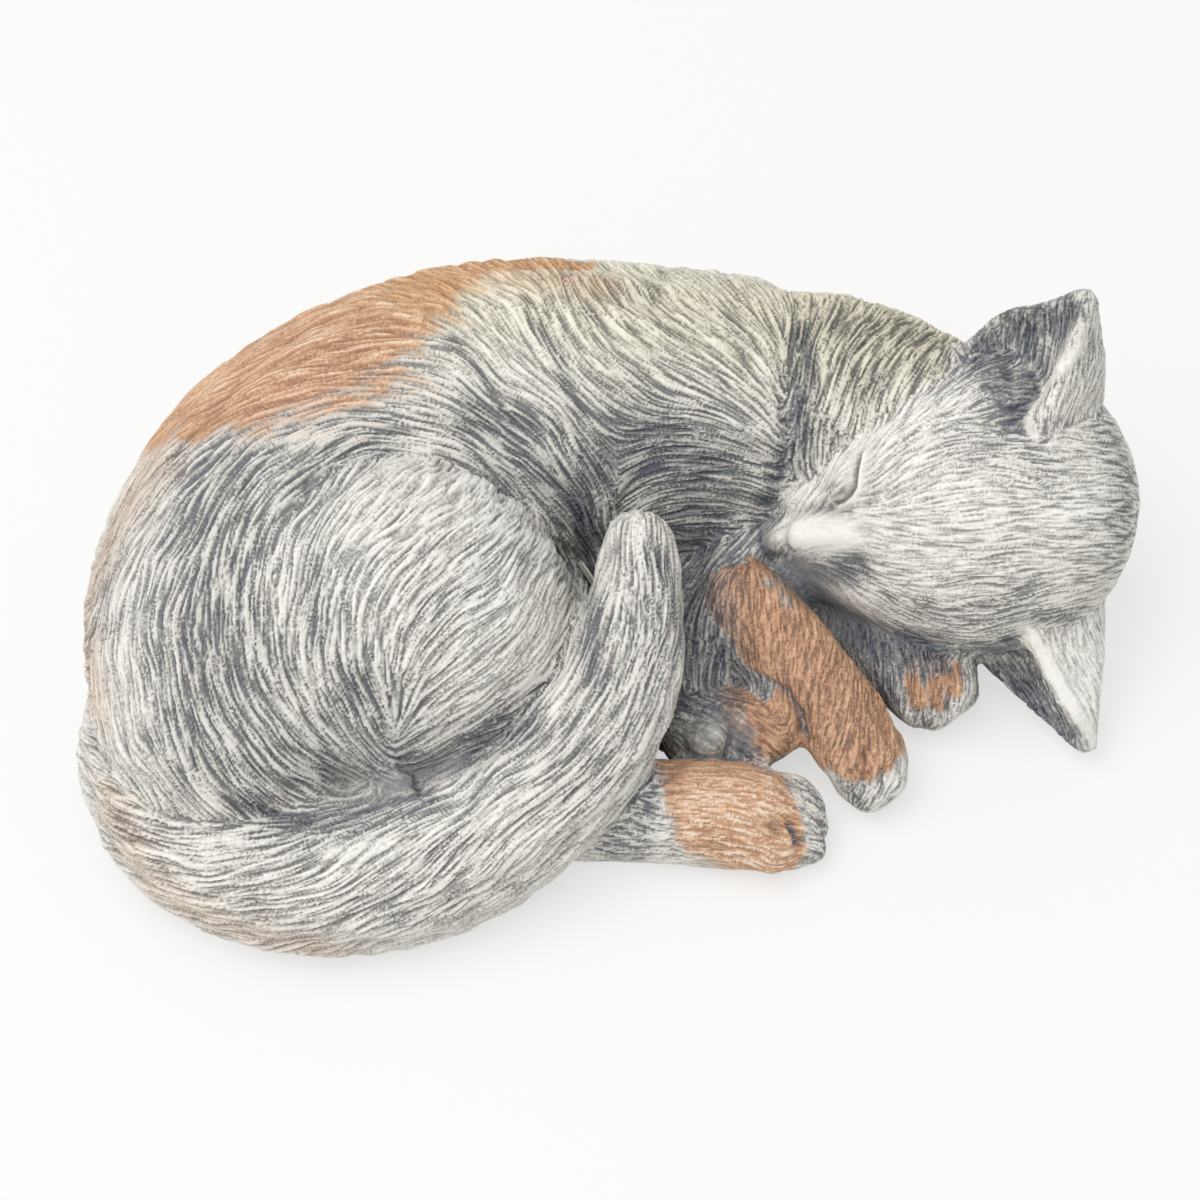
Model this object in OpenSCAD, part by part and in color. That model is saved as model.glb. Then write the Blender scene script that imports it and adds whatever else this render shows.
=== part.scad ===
// Sleeping cat garden statue, cast in concrete: a kitten curled on its side, with the tail wrapped round
// the front and the head resting on the forepaws. +Z is up and the belly side faces -Y, so that near parts
// lie towards -Y and far parts towards +Y. The origin is the middle of the flat underside. Each sculpted
// mass is a separate solid that is seated against its neighbours.

/* [Fur] */
// Height of the broad locks of fur, from trough to crest
lock_height = 1.6; // [0.8:0.2:2]
// Distance from one lock to the next
lock_spacing = 16; // [14:1:20]

/* [Trunk] */
// Height of the back above the ground
back_height = 95; // [85:1:105]
// Width of the ribcage across the spine
rib_width = 94; // [86:1:102]

/* [Neck] */
// Width of the neck with its ruff
neck_width = 72; // [66:1:78]

/* [Haunch] */
// Length of the thigh along the statue
thigh_length = 108; // [104:1:114]
// Height of the top of the thigh above the ground
thigh_height = 95; // [86:1:104]

/* [Tail] */
// Thickness of the tail along the front of the statue
tail_thick = 44; // [40:1:48]
// Thickness of the tail just before its rounded tip
tail_end = 20; // [16:1:24]

/* [Head] */
// Length of the head from nose to crown
head_length = 107; // [102:1:112]
// Width of the head across the cheeks
head_width = 86; // [82:1:92]
// Depth of the head from forehead to jaw
head_depth = 72; // [68:1:76]
// Lean of the forehead away from upright, towards the belly side
head_lean = 48; // [44:1:52]

/* [Ears] */
// Height of an ear from the middle of its root to its tip
ear_height = 36; // [32:1:40]
// Thickness of an ear's wall at the rim
ear_wall = 4; // [3:0.5:5]

/* [Legs] */
// Thickness of a forearm
forearm_thick = 25; // [22:1:28]
// Thickness of a hind foot
foot_thick = 29; // [26:1:32]
// Thickness of a toe
toe_thick = 13; // [11:1:15]

/* [Hidden] */

// Paint colours
coat = "gainsboro";
wash = "slategray";
ginger = "peru";

// Facets round the head, a limb, a swelling of the face and a toe
head_sides = 24;
limb_sides = 14;
face_sides = 12;
toe_sides = 10;

// Middle of the statue's plan, measured from the point that the masses are laid out from
plan_middle = [3, 5, 0];

// The locks run along a mass and slowly round it: share of a lock that they move on at each slice
lock_drift = 0.12;
// Share of their height by which the locks swell and fade
lock_fade = 0.25;
// Patches of high locks round a slice, and how far they turn from one slice to the next
lock_patches = 3;
patch_turn = 70;
// Half width of a mass that is too narrow for locks
lock_least = 6;

// Space under the ground plane that is cut off every mass
ground = 400;

// Spline helpers: a row is [x, y, z, half width, half height]
function clamp_row(rows, i) = rows[max(0, min(len(rows) - 1, i))];
function spline(a, b, c, d, t) =
    ((2 * b) + (c - a) * t + (2 * a - 5 * b + 4 * c - d) * t * t + (3 * b - a - 3 * c + d) * t * t * t) / 2;
function fair(rows, steps) = [
    for (i = [0 : len(rows) - 2], k = [0 : steps - 1])
        spline(clamp_row(rows, i - 1), rows[i], rows[i + 1], clamp_row(rows, i + 2), k / steps),
    rows[len(rows) - 1]];
function place(row) = [row[0], row[1], row[2]];
function unit(v) = v / norm(v);
function heading(rows, i) = unit(place(clamp_row(rows, i + 1)) - place(clamp_row(rows, i - 1)));

// Quarter-round closing rows beyond one end of a mass, reaching out by a share of its half width
body_cap = [28, 52, 70, 84];
limb_cap = [35, 62, 84];
function cap(row, out, share, angles) = [
    for (a = angles)
        let (p = place(row) + out * row[3] * share * sin(a))
            [p[0], p[1], p[2], row[3] * cos(a), row[4] * cos(a)]];
function backwards(rows) = [for (i = [len(rows) - 1 : -1 : 0]) rows[i]];
function rounded(rows, first, last, angles) = concat(
    backwards(cap(rows[0], -heading(rows, 0), first, angles)),
    rows,
    cap(rows[len(rows) - 1], heading(rows, len(rows) - 1), last, angles));

// Number of fur locks round the widest slice of a mass
function lock_count(rows) =
    round(PI * (max([for (r = rows) r[3]]) + max([for (r = rows) r[4]])) / lock_spacing);

// How far the locks lift the skin at a crest: they swell and fade, and die out on narrow ends
function lift(row, i, angle) =
    lock_height / 2 * max(0, min(1, (row[3] - lock_least) / lock_spacing))
        * (1 - lock_fade + lock_fade * sin(lock_patches * angle + patch_turn * i));

// One oval slice, square to the direction that the mass takes there, its corners crests and troughs in turn
function slice(rows, i, sides, locks) =
    let (row = rows[i],
         along = heading(rows, i),
         side = unit(cross([0, 0, 1], along)),
         up = cross(along, side),
         turn = locks > 0 ? 360 * lock_drift * i / locks : 0)
        [for (k = [0 : sides - 1])
            let (angle = 360 * k / sides + turn,
                 out = locks > 0 ? lift(row, i, angle) * (k % 2 == 0 ? 1 : -1) : 0)
                place(row) + side * (row[3] + out) * cos(angle) + up * (row[4] + out) * sin(angle)];

// A skin stretched over the slices, closed by the first and the last
module loft(rows, sides, locks = 0) {
    ends = len(rows) - 1;
    points = [for (i = [0 : ends]) each slice(rows, i, sides, locks)];
    walls = [for (i = [0 : ends - 1], k = [0 : sides - 1])
        let (a = i * sides + k,
             b = i * sides + (k + 1) % sides)
            each [[a, a + sides, b + sides], [a, b + sides, b]]];
    first = [for (k = [0 : sides - 1]) k];
    last = [for (k = [sides - 1 : -1 : 0]) ends * sides + k];
    polyhedron(points, concat(walls, [first, last]));
}

module limb(rows, steps = 3, first = 1, last = 1) {
    loft(rounded(fair(rows, steps), first, last, limb_cap), limb_sides);
}

module furred(rows) {
    locks = lock_count(rows);
    loft(rows, 2 * locks, locks);
}

module body_mass(rows, steps, first, last) {
    furred(rounded(fair(rows, steps), first, last, body_cap));
}

module swelling(at, half, sides = face_sides) {
    translate(at) scale(half) sphere(1, $fn = sides);
}

// A row of toes side by side, from one outer toe to the other
module toes(from, to, count, half) {
    for (i = [0 : count - 1])
        swelling(from + (to - from) * i / (count - 1), half, toe_sides);
}

// A mass in its place: the first child, less the neighbours that it is seated against and the ground
module seated() {
    translate(-plan_middle)
        difference() {
            children(0);
            for (i = [1 : 1 : $children - 1])
                children(i);
            translate([-ground / 2, -ground / 2, -ground]) cube(ground);
        }
}

// Trunk: shoulders, ribs, loin, croup and rump along the curled spine
rib_half = rib_width / 2;
trunk_middle = 0.41 * back_height;
back_half = back_height - trunk_middle;
trunk_rows = [
    [47, 60, trunk_middle, rib_half - 7, back_half - 4],
    [24, 60, trunk_middle, rib_half - 3, back_half - 2],
    [-4, 60, trunk_middle, rib_half, back_half],
    [-30, 59, trunk_middle, rib_half + 1, back_half],
    [-56, 51, trunk_middle, rib_half, back_half],
    [-78, 37, trunk_middle, rib_half, back_half - 1],
    [-92, 17, trunk_middle, rib_half, back_half - 2],
    [-99, -5, trunk_middle, rib_half - 1, back_half - 4],
    [-102, -24, trunk_middle - 2, rib_half - 4, back_half - 8],
    [-104, -38, trunk_middle - 6, rib_half - 9, back_half - 14]];
belly_at = [10, 2, 16];
belly_half = [38, 34, 27];
groin_at = [-22, 12, 8];
groin_half = [30, 28, 26];

module trunk_form() {
    body_mass(trunk_rows, 2, 0.4, 0.95);
    swelling(belly_at, belly_half);
    swelling(groin_at, groin_half);
}

// Neck: the ruff of fur behind the cheeks
neck_half = neck_width / 2;
neck_rows = [
    [50, 60, 43, neck_half - 2, 45],
    [64, 58, 43, neck_half, 46],
    [78, 55, 42, neck_half - 3, 45],
    [92, 50, 41, neck_half - 6, 44],
    [106, 43, 40, neck_half - 10, 42]];

module neck_form() {
    body_mass(neck_rows, 2, 0.5, 0.9);
}

// Haunch: the thigh of the upper hind leg with the heel that peeps out above the tail
thigh_half = thigh_length / 2;
thigh_middle = [-60, -11, 38];
heel_at = [-55, -60, 38];
heel_half = [6, 5, 5];

module haunch_form() {
    across = 0.87 * thigh_half;
    rise = thigh_height - thigh_middle[2];
    rows = [for (a = [-84 : 14 : 84])
        let (p = thigh_middle + [thigh_half * sin(a), 0, 0])
            [p[0], p[1], p[2], across * cos(a), rise * cos(a)]];
    furred(rows);
    swelling(heel_at, heel_half);
}

// Tail: from the rump along the front and up over the hind leg to its tip against the belly
tail_half = tail_thick / 2;
tail_tip = tail_end / 2;
tail_rows = [
    [-121, -38, 27, tail_half + 4, tail_half + 9],
    [-116, -58, 22, tail_half + 2, tail_half + 5],
    [-99, -72, 18, tail_half, tail_half + 3],
    [-73, -76, 17, tail_half, tail_half + 3],
    [-47, -71, 18, tail_half, tail_half + 3],
    [-26, -60, 23, tail_half, tail_half + 1],
    [-9, -47, 32, tail_half - 1, tail_half - 1],
    [3, -33, 43, tail_half - 4, tail_half - 4],
    [8, -19, 52, tail_half - 7, tail_half - 7],
    [10, -6, 59, tail_tip + 2, tail_tip + 2],
    [10, 3, 63, tail_tip, tail_tip]];

module tail_form() {
    furred(rounded(fair(tail_rows, 2), 0.8, 0.9, limb_cap));
}

// Near hind foot, lying under the tail with its toes to the right
foot_half = foot_thick / 2;
toe_half = toe_thick / 2;
near_hind_rows = [
    [-16, -52, 12, foot_half, foot_half + 1],
    [16, -53, 12, foot_half, foot_half + 1],
    [38, -54, 11, foot_half + 1, foot_half],
    [50, -55, 9, foot_half, foot_half - 3]];

module near_hind_foot_form() {
    limb(near_hind_rows, 2, 0.5, 0.6);
    toes([53, -46, 9], [51, -62, 7], 3, [toe_half + 4, toe_half, toe_half + 1]);
}

// Far hind paw, tucked between the foot and the forearm with its pad showing
far_hind_rows = [
    [22, -26, 14, foot_half - 4, foot_half],
    [46, -28, 16, foot_half - 4, foot_half - 3]];
pad_at = [29, -35, 19];
pad_half = [6, 6, 7];

module far_hind_paw_form() {
    limb(far_hind_rows, 3, 0.5, 1);
    swelling(pad_at, pad_half);
}

// Near shoulder: the upper arm from the ribs down to the elbow
shoulder_rows = [
    [58, 40, 26, 22, 28],
    [46, 20, 25, 20, 26],
    [34, 0, 23, 17, 22]];

module near_shoulder_form() {
    limb(shoulder_rows, 2);
}

// Near foreleg: the forearm from under the chin to the paw
forearm_half = forearm_thick / 2;
near_foreleg_rows = [
    [40, 1, 36, forearm_half + 1, forearm_half + 1],
    [54, -13, 29, forearm_half + 1, forearm_half + 1],
    [66, -28, 20, forearm_half - 1, forearm_half],
    [74, -37, 12, forearm_half + 1, forearm_half]];

module near_foreleg_form() {
    limb(near_foreleg_rows, 3);
    toes([69, -42, 9], [81, -34, 9], 3, toe_half * [1, 1, 1]);
}

// Far foreleg: under the chin, ending in the round paw that carries the cheek
far_foreleg_rows = [
    [58, 26, 16, forearm_half + 3, forearm_half + 5],
    [82, 3, 15, forearm_half + 2, forearm_half + 3],
    [95, -10, 13, forearm_half + 2, forearm_half + 3]];

module far_foreleg_form() {
    limb(far_foreleg_rows, 3);
    toes([88, -16, 10], [103, -13, 10], 3, [toe_half, toe_half + 2, toe_half + 2]);
}

// Head: rows from the nose to the crown, in the head's own frame
head_middle = [100, 26, 48];
head_turn = 6.7;
nose_drop = 4.6;
nose_reach = 0.505 * head_length;
cheek = head_width / 2;
brow = head_depth / 2;
function behind_nose(share) = nose_reach - share * head_length;
head_rows = [
    [nose_reach, 0, -2, 0.12 * cheek, 0.14 * brow],
    [behind_nose(0.03), 0, -3, 0.23 * cheek, 0.26 * brow],
    [behind_nose(0.085), 0, -3, 0.42 * cheek, 0.42 * brow],
    [behind_nose(0.16), 0, -3, 0.56 * cheek, 0.53 * brow],
    [behind_nose(0.25), 0, -2, 0.71 * cheek, 0.68 * brow],
    [behind_nose(0.375), 0, -1, 0.87 * cheek, 0.85 * brow],
    [behind_nose(0.505), 0, 0, 0.98 * cheek, 0.96 * brow],
    [behind_nose(0.635), 0, 0, cheek, brow],
    [behind_nose(0.765), 0, 0, 0.93 * cheek, 0.95 * brow],
    [behind_nose(0.88), 0, 0, 0.74 * cheek, 0.78 * brow],
    [behind_nose(0.955), 0, 0, 0.48 * cheek, 0.52 * brow],
    [behind_nose(1), 0, 0, 0.16 * cheek, 0.18 * brow]];
bridge_half = 6;
bridge_front = [nose_reach - 8, 0, 7];
bridge_back = [nose_reach - 26, 0, 15];
nose_at = [nose_reach - 2, 0, 1];
nose_half = [4, 5, 4];
chin_at = [nose_reach - 12, 0, -13];
chin_half = [9, 9, 6];
whisker_at = [nose_reach - 10, 11, -4];
whisker_half = [12, 12, 11];
lid_at = [nose_reach - 27, 15, 13];
lid_half = [9, 8, 5];

// The head's own frame: x to the nose, y to the near ear, z out of the forehead
module in_head() {
    translate(head_middle)
        rotate([0, nose_drop, 180 + head_turn])
            rotate([-head_lean, 0, 0])
                children();
}

// Nose bridge, nose, chin, whisker pads and closed eyelids on the front of the head
module face_form() {
    hull()
        for (p = [bridge_front, bridge_back])
            swelling(p, bridge_half * [1, 1, 1]);
    swelling(nose_at, nose_half);
    swelling(chin_at, chin_half);
    for (side = [0, 1])
        mirror([0, side, 0]) {
            swelling(whisker_at, whisker_half);
            swelling(lid_at, lid_half);
        }
}

module head_form() {
    in_head() {
        loft(fair(head_rows, 2), head_sides);
        face_form();
    }
}

// Ears, in the head's frame: the roots of the outer rim, the inner rim and the back, and the way to the tip
far_ear_roots = [[-6, -44, 2], [-24, -25, 28], [-38, -28, 10]];
far_ear_aim = [-0.66, -0.66, 0.36];
near_ear_roots = [[-4, 44, -3], [-15, 31, 21], [-33, 34, 6]];
near_ear_aim = [-0.48, 0.86, 0.17];
rim_half = ear_wall / 2 + 1;
tip_half = ear_wall / 2 + 2;
ear_back_half = 7;
scoop_end = 0.84;
scoop_depth = 4;
scoop_reach = 30;

// A hollow cone on those roots
module ear_form(roots, aim) {
    outer = roots[0];
    inner = roots[1];
    back = roots[2];
    root = (outer + inner) / 2;
    tip = root + unit(aim) * ear_height;
    square = unit(cross(inner - outer, tip - outer));
    mouth = (back - outer) * square > 0 ? -square : square;
    scoop = norm(inner - outer) / 2 - ear_wall + 1;
    narrow = root * (1 - scoop_end) + tip * scoop_end;
    in_head()
        difference() {
            hull() {
                for (p = [outer, inner])
                    swelling(p, rim_half * [1, 1, 1]);
                swelling(tip, tip_half * [1, 1, 1]);
                for (t = [0, 0.4])
                    swelling(back * (1 - t) + tip * t, ear_back_half * [1, 1, 1]);
            }
            hull() {
                for (out = [scoop_depth, scoop_reach])
                    swelling(root + mouth * out, scoop * [1, 1, 1]);
                swelling(narrow + mouth * scoop_depth, scoop_depth * [1, 1, 1]);
                swelling(tip + mouth * scoop_reach, scoop * [1, 1, 1]);
            }
        }
}

module far_ear_form() {
    ear_form(far_ear_roots, far_ear_aim);
}

module near_ear_form() {
    ear_form(near_ear_roots, near_ear_aim);
}

module trunk() {
    color(coat)
        seated() {
            trunk_form();
            neck_form();
            haunch_form();
            tail_form();
            near_shoulder_form();
            near_foreleg_form();
            far_foreleg_form();
            far_hind_paw_form();
            near_hind_foot_form();
            head_form();
        }
}

module neck() {
    color(coat)
        seated() {
            neck_form();
            near_shoulder_form();
            near_foreleg_form();
            far_foreleg_form();
            head_form();
            far_ear_form();
        }
}

module haunch() {
    color(coat)
        seated() {
            haunch_form();
            tail_form();
            near_hind_foot_form();
            far_hind_paw_form();
        }
}

module tail() {
    color(coat)
        seated()
            tail_form();
}

module near_hind_foot() {
    color(ginger)
        seated() {
            near_hind_foot_form();
            tail_form();
        }
}

module far_hind_paw() {
    color(ginger)
        seated() {
            far_hind_paw_form();
            near_hind_foot_form();
            tail_form();
            near_foreleg_form();
            near_shoulder_form();
        }
}

module near_shoulder() {
    color(wash)
        seated() {
            near_shoulder_form();
            tail_form();
            near_foreleg_form();
            far_foreleg_form();
            head_form();
        }
}

module near_foreleg() {
    color(ginger)
        seated() {
            near_foreleg_form();
            head_form();
        }
}

module far_foreleg() {
    color(ginger)
        seated() {
            far_foreleg_form();
            near_foreleg_form();
            head_form();
        }
}

module head() {
    color(coat)
        seated()
            head_form();
}

module far_ear() {
    color(wash)
        seated() {
            far_ear_form();
            head_form();
        }
}

module near_ear() {
    color(wash)
        seated() {
            near_ear_form();
            head_form();
            far_foreleg_form();
        }
}

trunk();
neck();
haunch();
tail();
near_hind_foot();
far_hind_paw();
near_shoulder();
near_foreleg();
far_foreleg();
head();
far_ear();
near_ear();
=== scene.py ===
import math
import time
import bpy
import bmesh
import numpy as np
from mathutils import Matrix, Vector
from mathutils.bvhtree import BVHTree


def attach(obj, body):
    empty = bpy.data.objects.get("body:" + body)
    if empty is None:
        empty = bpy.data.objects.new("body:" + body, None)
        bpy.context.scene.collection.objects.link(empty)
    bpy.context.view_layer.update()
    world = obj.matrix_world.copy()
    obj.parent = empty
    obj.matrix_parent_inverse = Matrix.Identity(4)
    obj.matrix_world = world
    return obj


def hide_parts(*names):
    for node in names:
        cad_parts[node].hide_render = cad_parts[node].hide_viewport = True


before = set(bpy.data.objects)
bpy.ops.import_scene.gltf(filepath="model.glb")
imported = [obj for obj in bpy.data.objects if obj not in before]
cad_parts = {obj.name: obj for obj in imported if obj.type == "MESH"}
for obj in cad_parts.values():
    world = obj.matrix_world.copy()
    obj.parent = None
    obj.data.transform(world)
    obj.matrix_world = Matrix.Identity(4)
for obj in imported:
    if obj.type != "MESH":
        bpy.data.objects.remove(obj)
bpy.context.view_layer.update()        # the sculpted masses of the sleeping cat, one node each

began = time.perf_counter()
mm = 0.001               # Blender works in metres, the numbers below are millimetres
nodeNames = sorted(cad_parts)


def report(words):
    print(f"[{time.perf_counter() - began:5.1f} s] {words}")


# Camera: the photograph looks down on the cat from its belly side
photo = {
    "size": 1200,            # pixels along each side of the photograph
    "aim": (-3.6, 22.5, 0.3),
    "elevation": 55.0,
    "distance": 900.0,
    "pixelsPerMm": 3.34,     # at the aim
    "sensor": 36.0,
}
tilt = math.radians(photo["elevation"])
aim = np.array(photo["aim"])
viewBack = np.array((0.0, -math.cos(tilt), math.sin(tilt)))
viewUp = np.array((0.0, math.sin(tilt), math.cos(tilt)))
viewRight = np.array((1.0, 0.0, 0.0))
eye = aim + viewBack * photo["distance"]


def makeCamera():
    seen = photo["size"] / photo["pixelsPerMm"]
    data = bpy.data.cameras.new("photoCamera")
    data.sensor_width = photo["sensor"]
    data.lens = photo["sensor"] * photo["distance"] / seen
    camera = bpy.data.objects.new("photoCamera", data)
    bpy.context.scene.collection.objects.link(camera)
    camera.location = Vector(eye * mm)
    camera.rotation_euler = (math.pi / 2 - tilt, 0, 0)
    bpy.context.scene.camera = camera


makeCamera()
report("camera placed")


# Small helpers for points held in arrays
def smoothStep(low, high, value):
    t = np.clip((value - low) / (high - low), 0, 1)
    return t * t * (3 - 2 * t)


def unit(v):
    return v / np.maximum(np.linalg.norm(v, axis=-1, keepdims=True), 1e-9)


def pull(items, key, width=1, kind=np.float32):    # one property of all the items of a mesh, as an array
    found = np.empty(len(items) * width, kind)
    items.foreach_get(key, found)
    return found.reshape(-1, width) if width > 1 else found


def readPoints(mesh):
    return pull(mesh.vertices, "co", 3).astype(float)


def writePoints(mesh, points):
    mesh.vertices.foreach_set("co", points.astype(np.float32).ravel())
    mesh.update()


def readNormals(mesh):
    return pull(mesh.vertex_normals, "vector", 3).astype(float)


def addAttribute(mesh, name, values, kind="FLOAT", domain="POINT"):
    layer = mesh.attributes.new(name, kind, domain)
    values = np.ascontiguousarray(values, np.int32 if kind == "INT" else np.float32)
    layer.data.foreach_set("vector" if kind == "FLOAT_VECTOR" else "value", values.ravel())


def readAttribute(mesh, name, width=1):
    layer = mesh.attributes[name]
    if width > 1:
        return pull(layer.data, "vector", width).astype(float)
    return pull(layer.data, "value", 1, np.float32 if layer.data_type == "FLOAT" else np.int32)


def neighbourTable(mesh):
    ends = pull(mesh.edges, "vertices", 2, np.int32)
    here = np.concatenate([ends[:, 0], ends[:, 1]])
    there = np.concatenate([ends[:, 1], ends[:, 0]])
    order = np.argsort(here, kind="stable")
    here, there = here[order], there[order]
    count = np.bincount(here, minlength=len(mesh.vertices))
    column = np.arange(len(here)) - np.repeat(np.cumsum(count) - count, count)
    table = np.repeat(np.arange(len(mesh.vertices))[:, None], count.max(), 1)
    table[here, column] = there
    return table, np.maximum(count, 1)


def neighbourMean(values, links):
    table, count = links
    spare = (table.shape[1] - count).reshape(-1, *[1] * (values.ndim - 1))
    share = count.reshape(-1, *[1] * (values.ndim - 1))
    return (values[table].sum(1) - values * spare) / share


def blurred(values, links, rounds):
    for _ in range(rounds):
        values = neighbourMean(values, links)
    return values


def meshLinks(mesh):               # corners of the faces, the two faces at each edge, and the edges' ends
    corner = pull(mesh.loops, "vertex_index", 1, np.int32)
    edge = pull(mesh.loops, "edge_index", 1, np.int32)
    ends = pull(mesh.edges, "vertices", 2, np.int32)
    size = pull(mesh.polygons, "loop_total", 1, np.int32)
    face = np.repeat(np.arange(len(size)), size)
    pairs = face[np.argsort(edge, kind="stable")].reshape(-1, 2)
    return corner, face, pairs, ends


def islandsOf(pairs, total):       # a number for each face, the same over all faces that the pairs join
    label = np.arange(total)
    while True:
        low = label.copy()
        np.minimum.at(low, pairs[:, 0], label[pairs[:, 1]])
        np.minimum.at(low, pairs[:, 1], label[pairs[:, 0]])
        low = low[low]
        if (low == label).all():
            return label
        label = low


def applyModifiers(thing):
    graph = bpy.context.evaluated_depsgraph_get()
    thing.data = bpy.data.meshes.new_from_object(thing.evaluated_get(graph))
    thing.modifiers.clear()


# One skin over all the masses: the real cat is a single casting, so its surface runs on across the seams
skinSettings = {
    "voxel": 2.0,            # halved twice by the subdivision
    "fairing": 18,           # rounds that take the facets out, each a step in and one out against shrinking
    "fairSteps": (0.55, -0.57),
    "firmRounds": 6,         # blur of the firmness where two masses meet
    "grounded": 0.8,         # points lower than this lie on the ground
    "soften": 12,            # rounds that fill the creases marked soft
    "softenStep": 0.6,
    "hollowRounds": 16,      # how wide a crease counts as a hollow
    "leanRounds": 12,
    "firmness": {"far_ear": 0.25, "near_ear": 0.25, "head": 0.6, "near_hind_foot": 0.5,
                 "far_hind_paw": 0.6, "near_foreleg": 0.6, "far_foreleg": 0.6},
}


# Places where a mass gives way a little, each a place, a reach and a shift: gaps that the casting would fill
nudges = {
    "near_foreleg": [((65, -48, 9), 10, (4.2, 0.5, 0)),  # clear of the hind foot
                     ((72, -27, 23), 9, (3.4, 1.2, 0.4))],  # close to the far paw
    "near_hind_foot": [((60, -50, 10), 7, (-2.0, -2.0, 0)), ((58, -62, 8), 9, (3.0, 0, 0))],
    "far_foreleg": [((105, -7, 14), 8, (-1.6, 0, 0))],  # clear of the lower ear
    "near_ear": [((105, -7, 14), 6, (0.7, 0, 0.5)), ((134, -35, 11), 5, (3.0, -1.0, 0))],
    "near_shoulder": [((45, 8, 49), 10, (-6.0, -2.5, -4.5))],  # lets the nose out
    "head": [((45, 11, 46), 6, (-0.5, -1.0, 1.0))],
}
skinNudges = [                                           # the same, on the skin
    ((110, 48, 95), 11, (-0.5, 3.2, 2.2)),               # bows the upper rim of the far ear
    ((-58.5, -66.5, 41), 4.2, (0.0, -2.4, 6.0)),         # point of the heel
    ((80, -27, 6), 6, (2.5, 3.0, 0.0)),                  # rounds the far forepaw
    ((103, -25, 6), 6, (-2.0, 2.5, 0.0)),
]


def nudged(points, shifts):
    moved = points.copy()
    for place, reach, shift in shifts:
        weight = np.exp(-((points - np.array(place)) ** 2).sum(1) / reach ** 2)
        moved += weight[:, None] * np.array(shift)
    return moved


def nodeTriangles():
    points, faces, owner, first = [], [], [], 0
    for number, name in enumerate(nodeNames):
        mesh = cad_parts[name].data
        mesh.calc_loop_triangles()
        points.append(nudged(readPoints(mesh) / mm, nudges.get(name, [])))
        faces.append(pull(mesh.loop_triangles, "vertices", 3, np.int32) + first)
        owner.append(np.full(len(mesh.loop_triangles), number))
        first += len(mesh.vertices)
    return np.concatenate(points), np.concatenate(faces), np.concatenate(owner)


def keepLargest(mesh):             # drops the skins of hollows that are shut in between the masses
    island = islandsOf(meshLinks(mesh)[2], len(mesh.polygons))
    kept = np.bincount(island).argmax()
    shell = bmesh.new()
    shell.from_mesh(mesh)
    bmesh.ops.delete(shell, geom=[f for f in shell.faces if island[f.index] != kept], context="FACES")
    shell.to_mesh(mesh)
    shell.free()


def castSkin():
    points, faces, owner = nodeTriangles()
    mesh = bpy.data.meshes.new("skin")
    mesh.from_pydata((points * mm).tolist(), [], faces.tolist())
    skin = bpy.data.objects.new("skin", mesh)
    bpy.context.scene.collection.objects.link(skin)
    remesh = skin.modifiers.new("one skin", "REMESH")
    remesh.mode = "VOXEL"
    remesh.voxel_size = skinSettings["voxel"] * mm
    applyModifiers(skin)
    keepLargest(skin.data)
    solids = BVHTree.FromPolygons(points.tolist(), faces.tolist())
    return skin, solids, owner


skin, solids, triangleOwner = castSkin()
coarse = skin.data
report(f"skin cast: {len(coarse.vertices)} points")
skinPoints = readPoints(coarse) / mm
links = neighbourTable(coarse)

# The skin is cut at the creases, a piece for each mass, and the two long masses again across their length
spine = [(44, 55, 39), (-7, 55, 39), (-33, 54, 39), (-59, 46, 39), (-81, 32, 39), (-95, 12, 39),
         (-102, -10, 38), (-107, -40, 33)]
tailLine = [(-124, -43, 27), (-119, -63, 22), (-102, -77, 18), (-76, -81, 17), (-50, -76, 18),
            (-29, -65, 23), (-12, -52, 32), (0, -38, 43), (5, -24, 52), (7, -11, 59), (7, -2, 62)]
sections = {                                                 # how far along its line each section ends
    "trunk": (spine, {"shoulders": 42.0, "ribs": 88.0, "loin": 138.0, "rump": 999.0}),
    "tail": (tailLine, {"tail_root": 95.0, "tail_end": 999.0}),
}
nodeOfPiece = {n: n for n in nodeNames if n not in sections}
nodeOfPiece.update({part: n for n in sections for part in sections[n][1]})
pieceNames = list(nodeOfPiece)
nodeNumber = np.array([nodeNames.index(n) for n in nodeOfPiece.values()])
leastIsland = 100        # faces; smaller islands join the mass round them
sortRounds = 6           # at most


def alongLine(points, path):
    best, where, run = np.full(len(points), 1e18), np.zeros(len(points)), 0.0
    for a, b in zip(path[:-1], path[1:]):
        length = np.linalg.norm(b - a)
        t = np.clip((points - a) @ (b - a) / length ** 2, 0, 1)
        gap = ((points - a - t[:, None] * (b - a)) ** 2).sum(1)
        where = np.where(gap < best, run + t * length, where)
        best = np.minimum(best, gap)
        run += length
    return where


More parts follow.
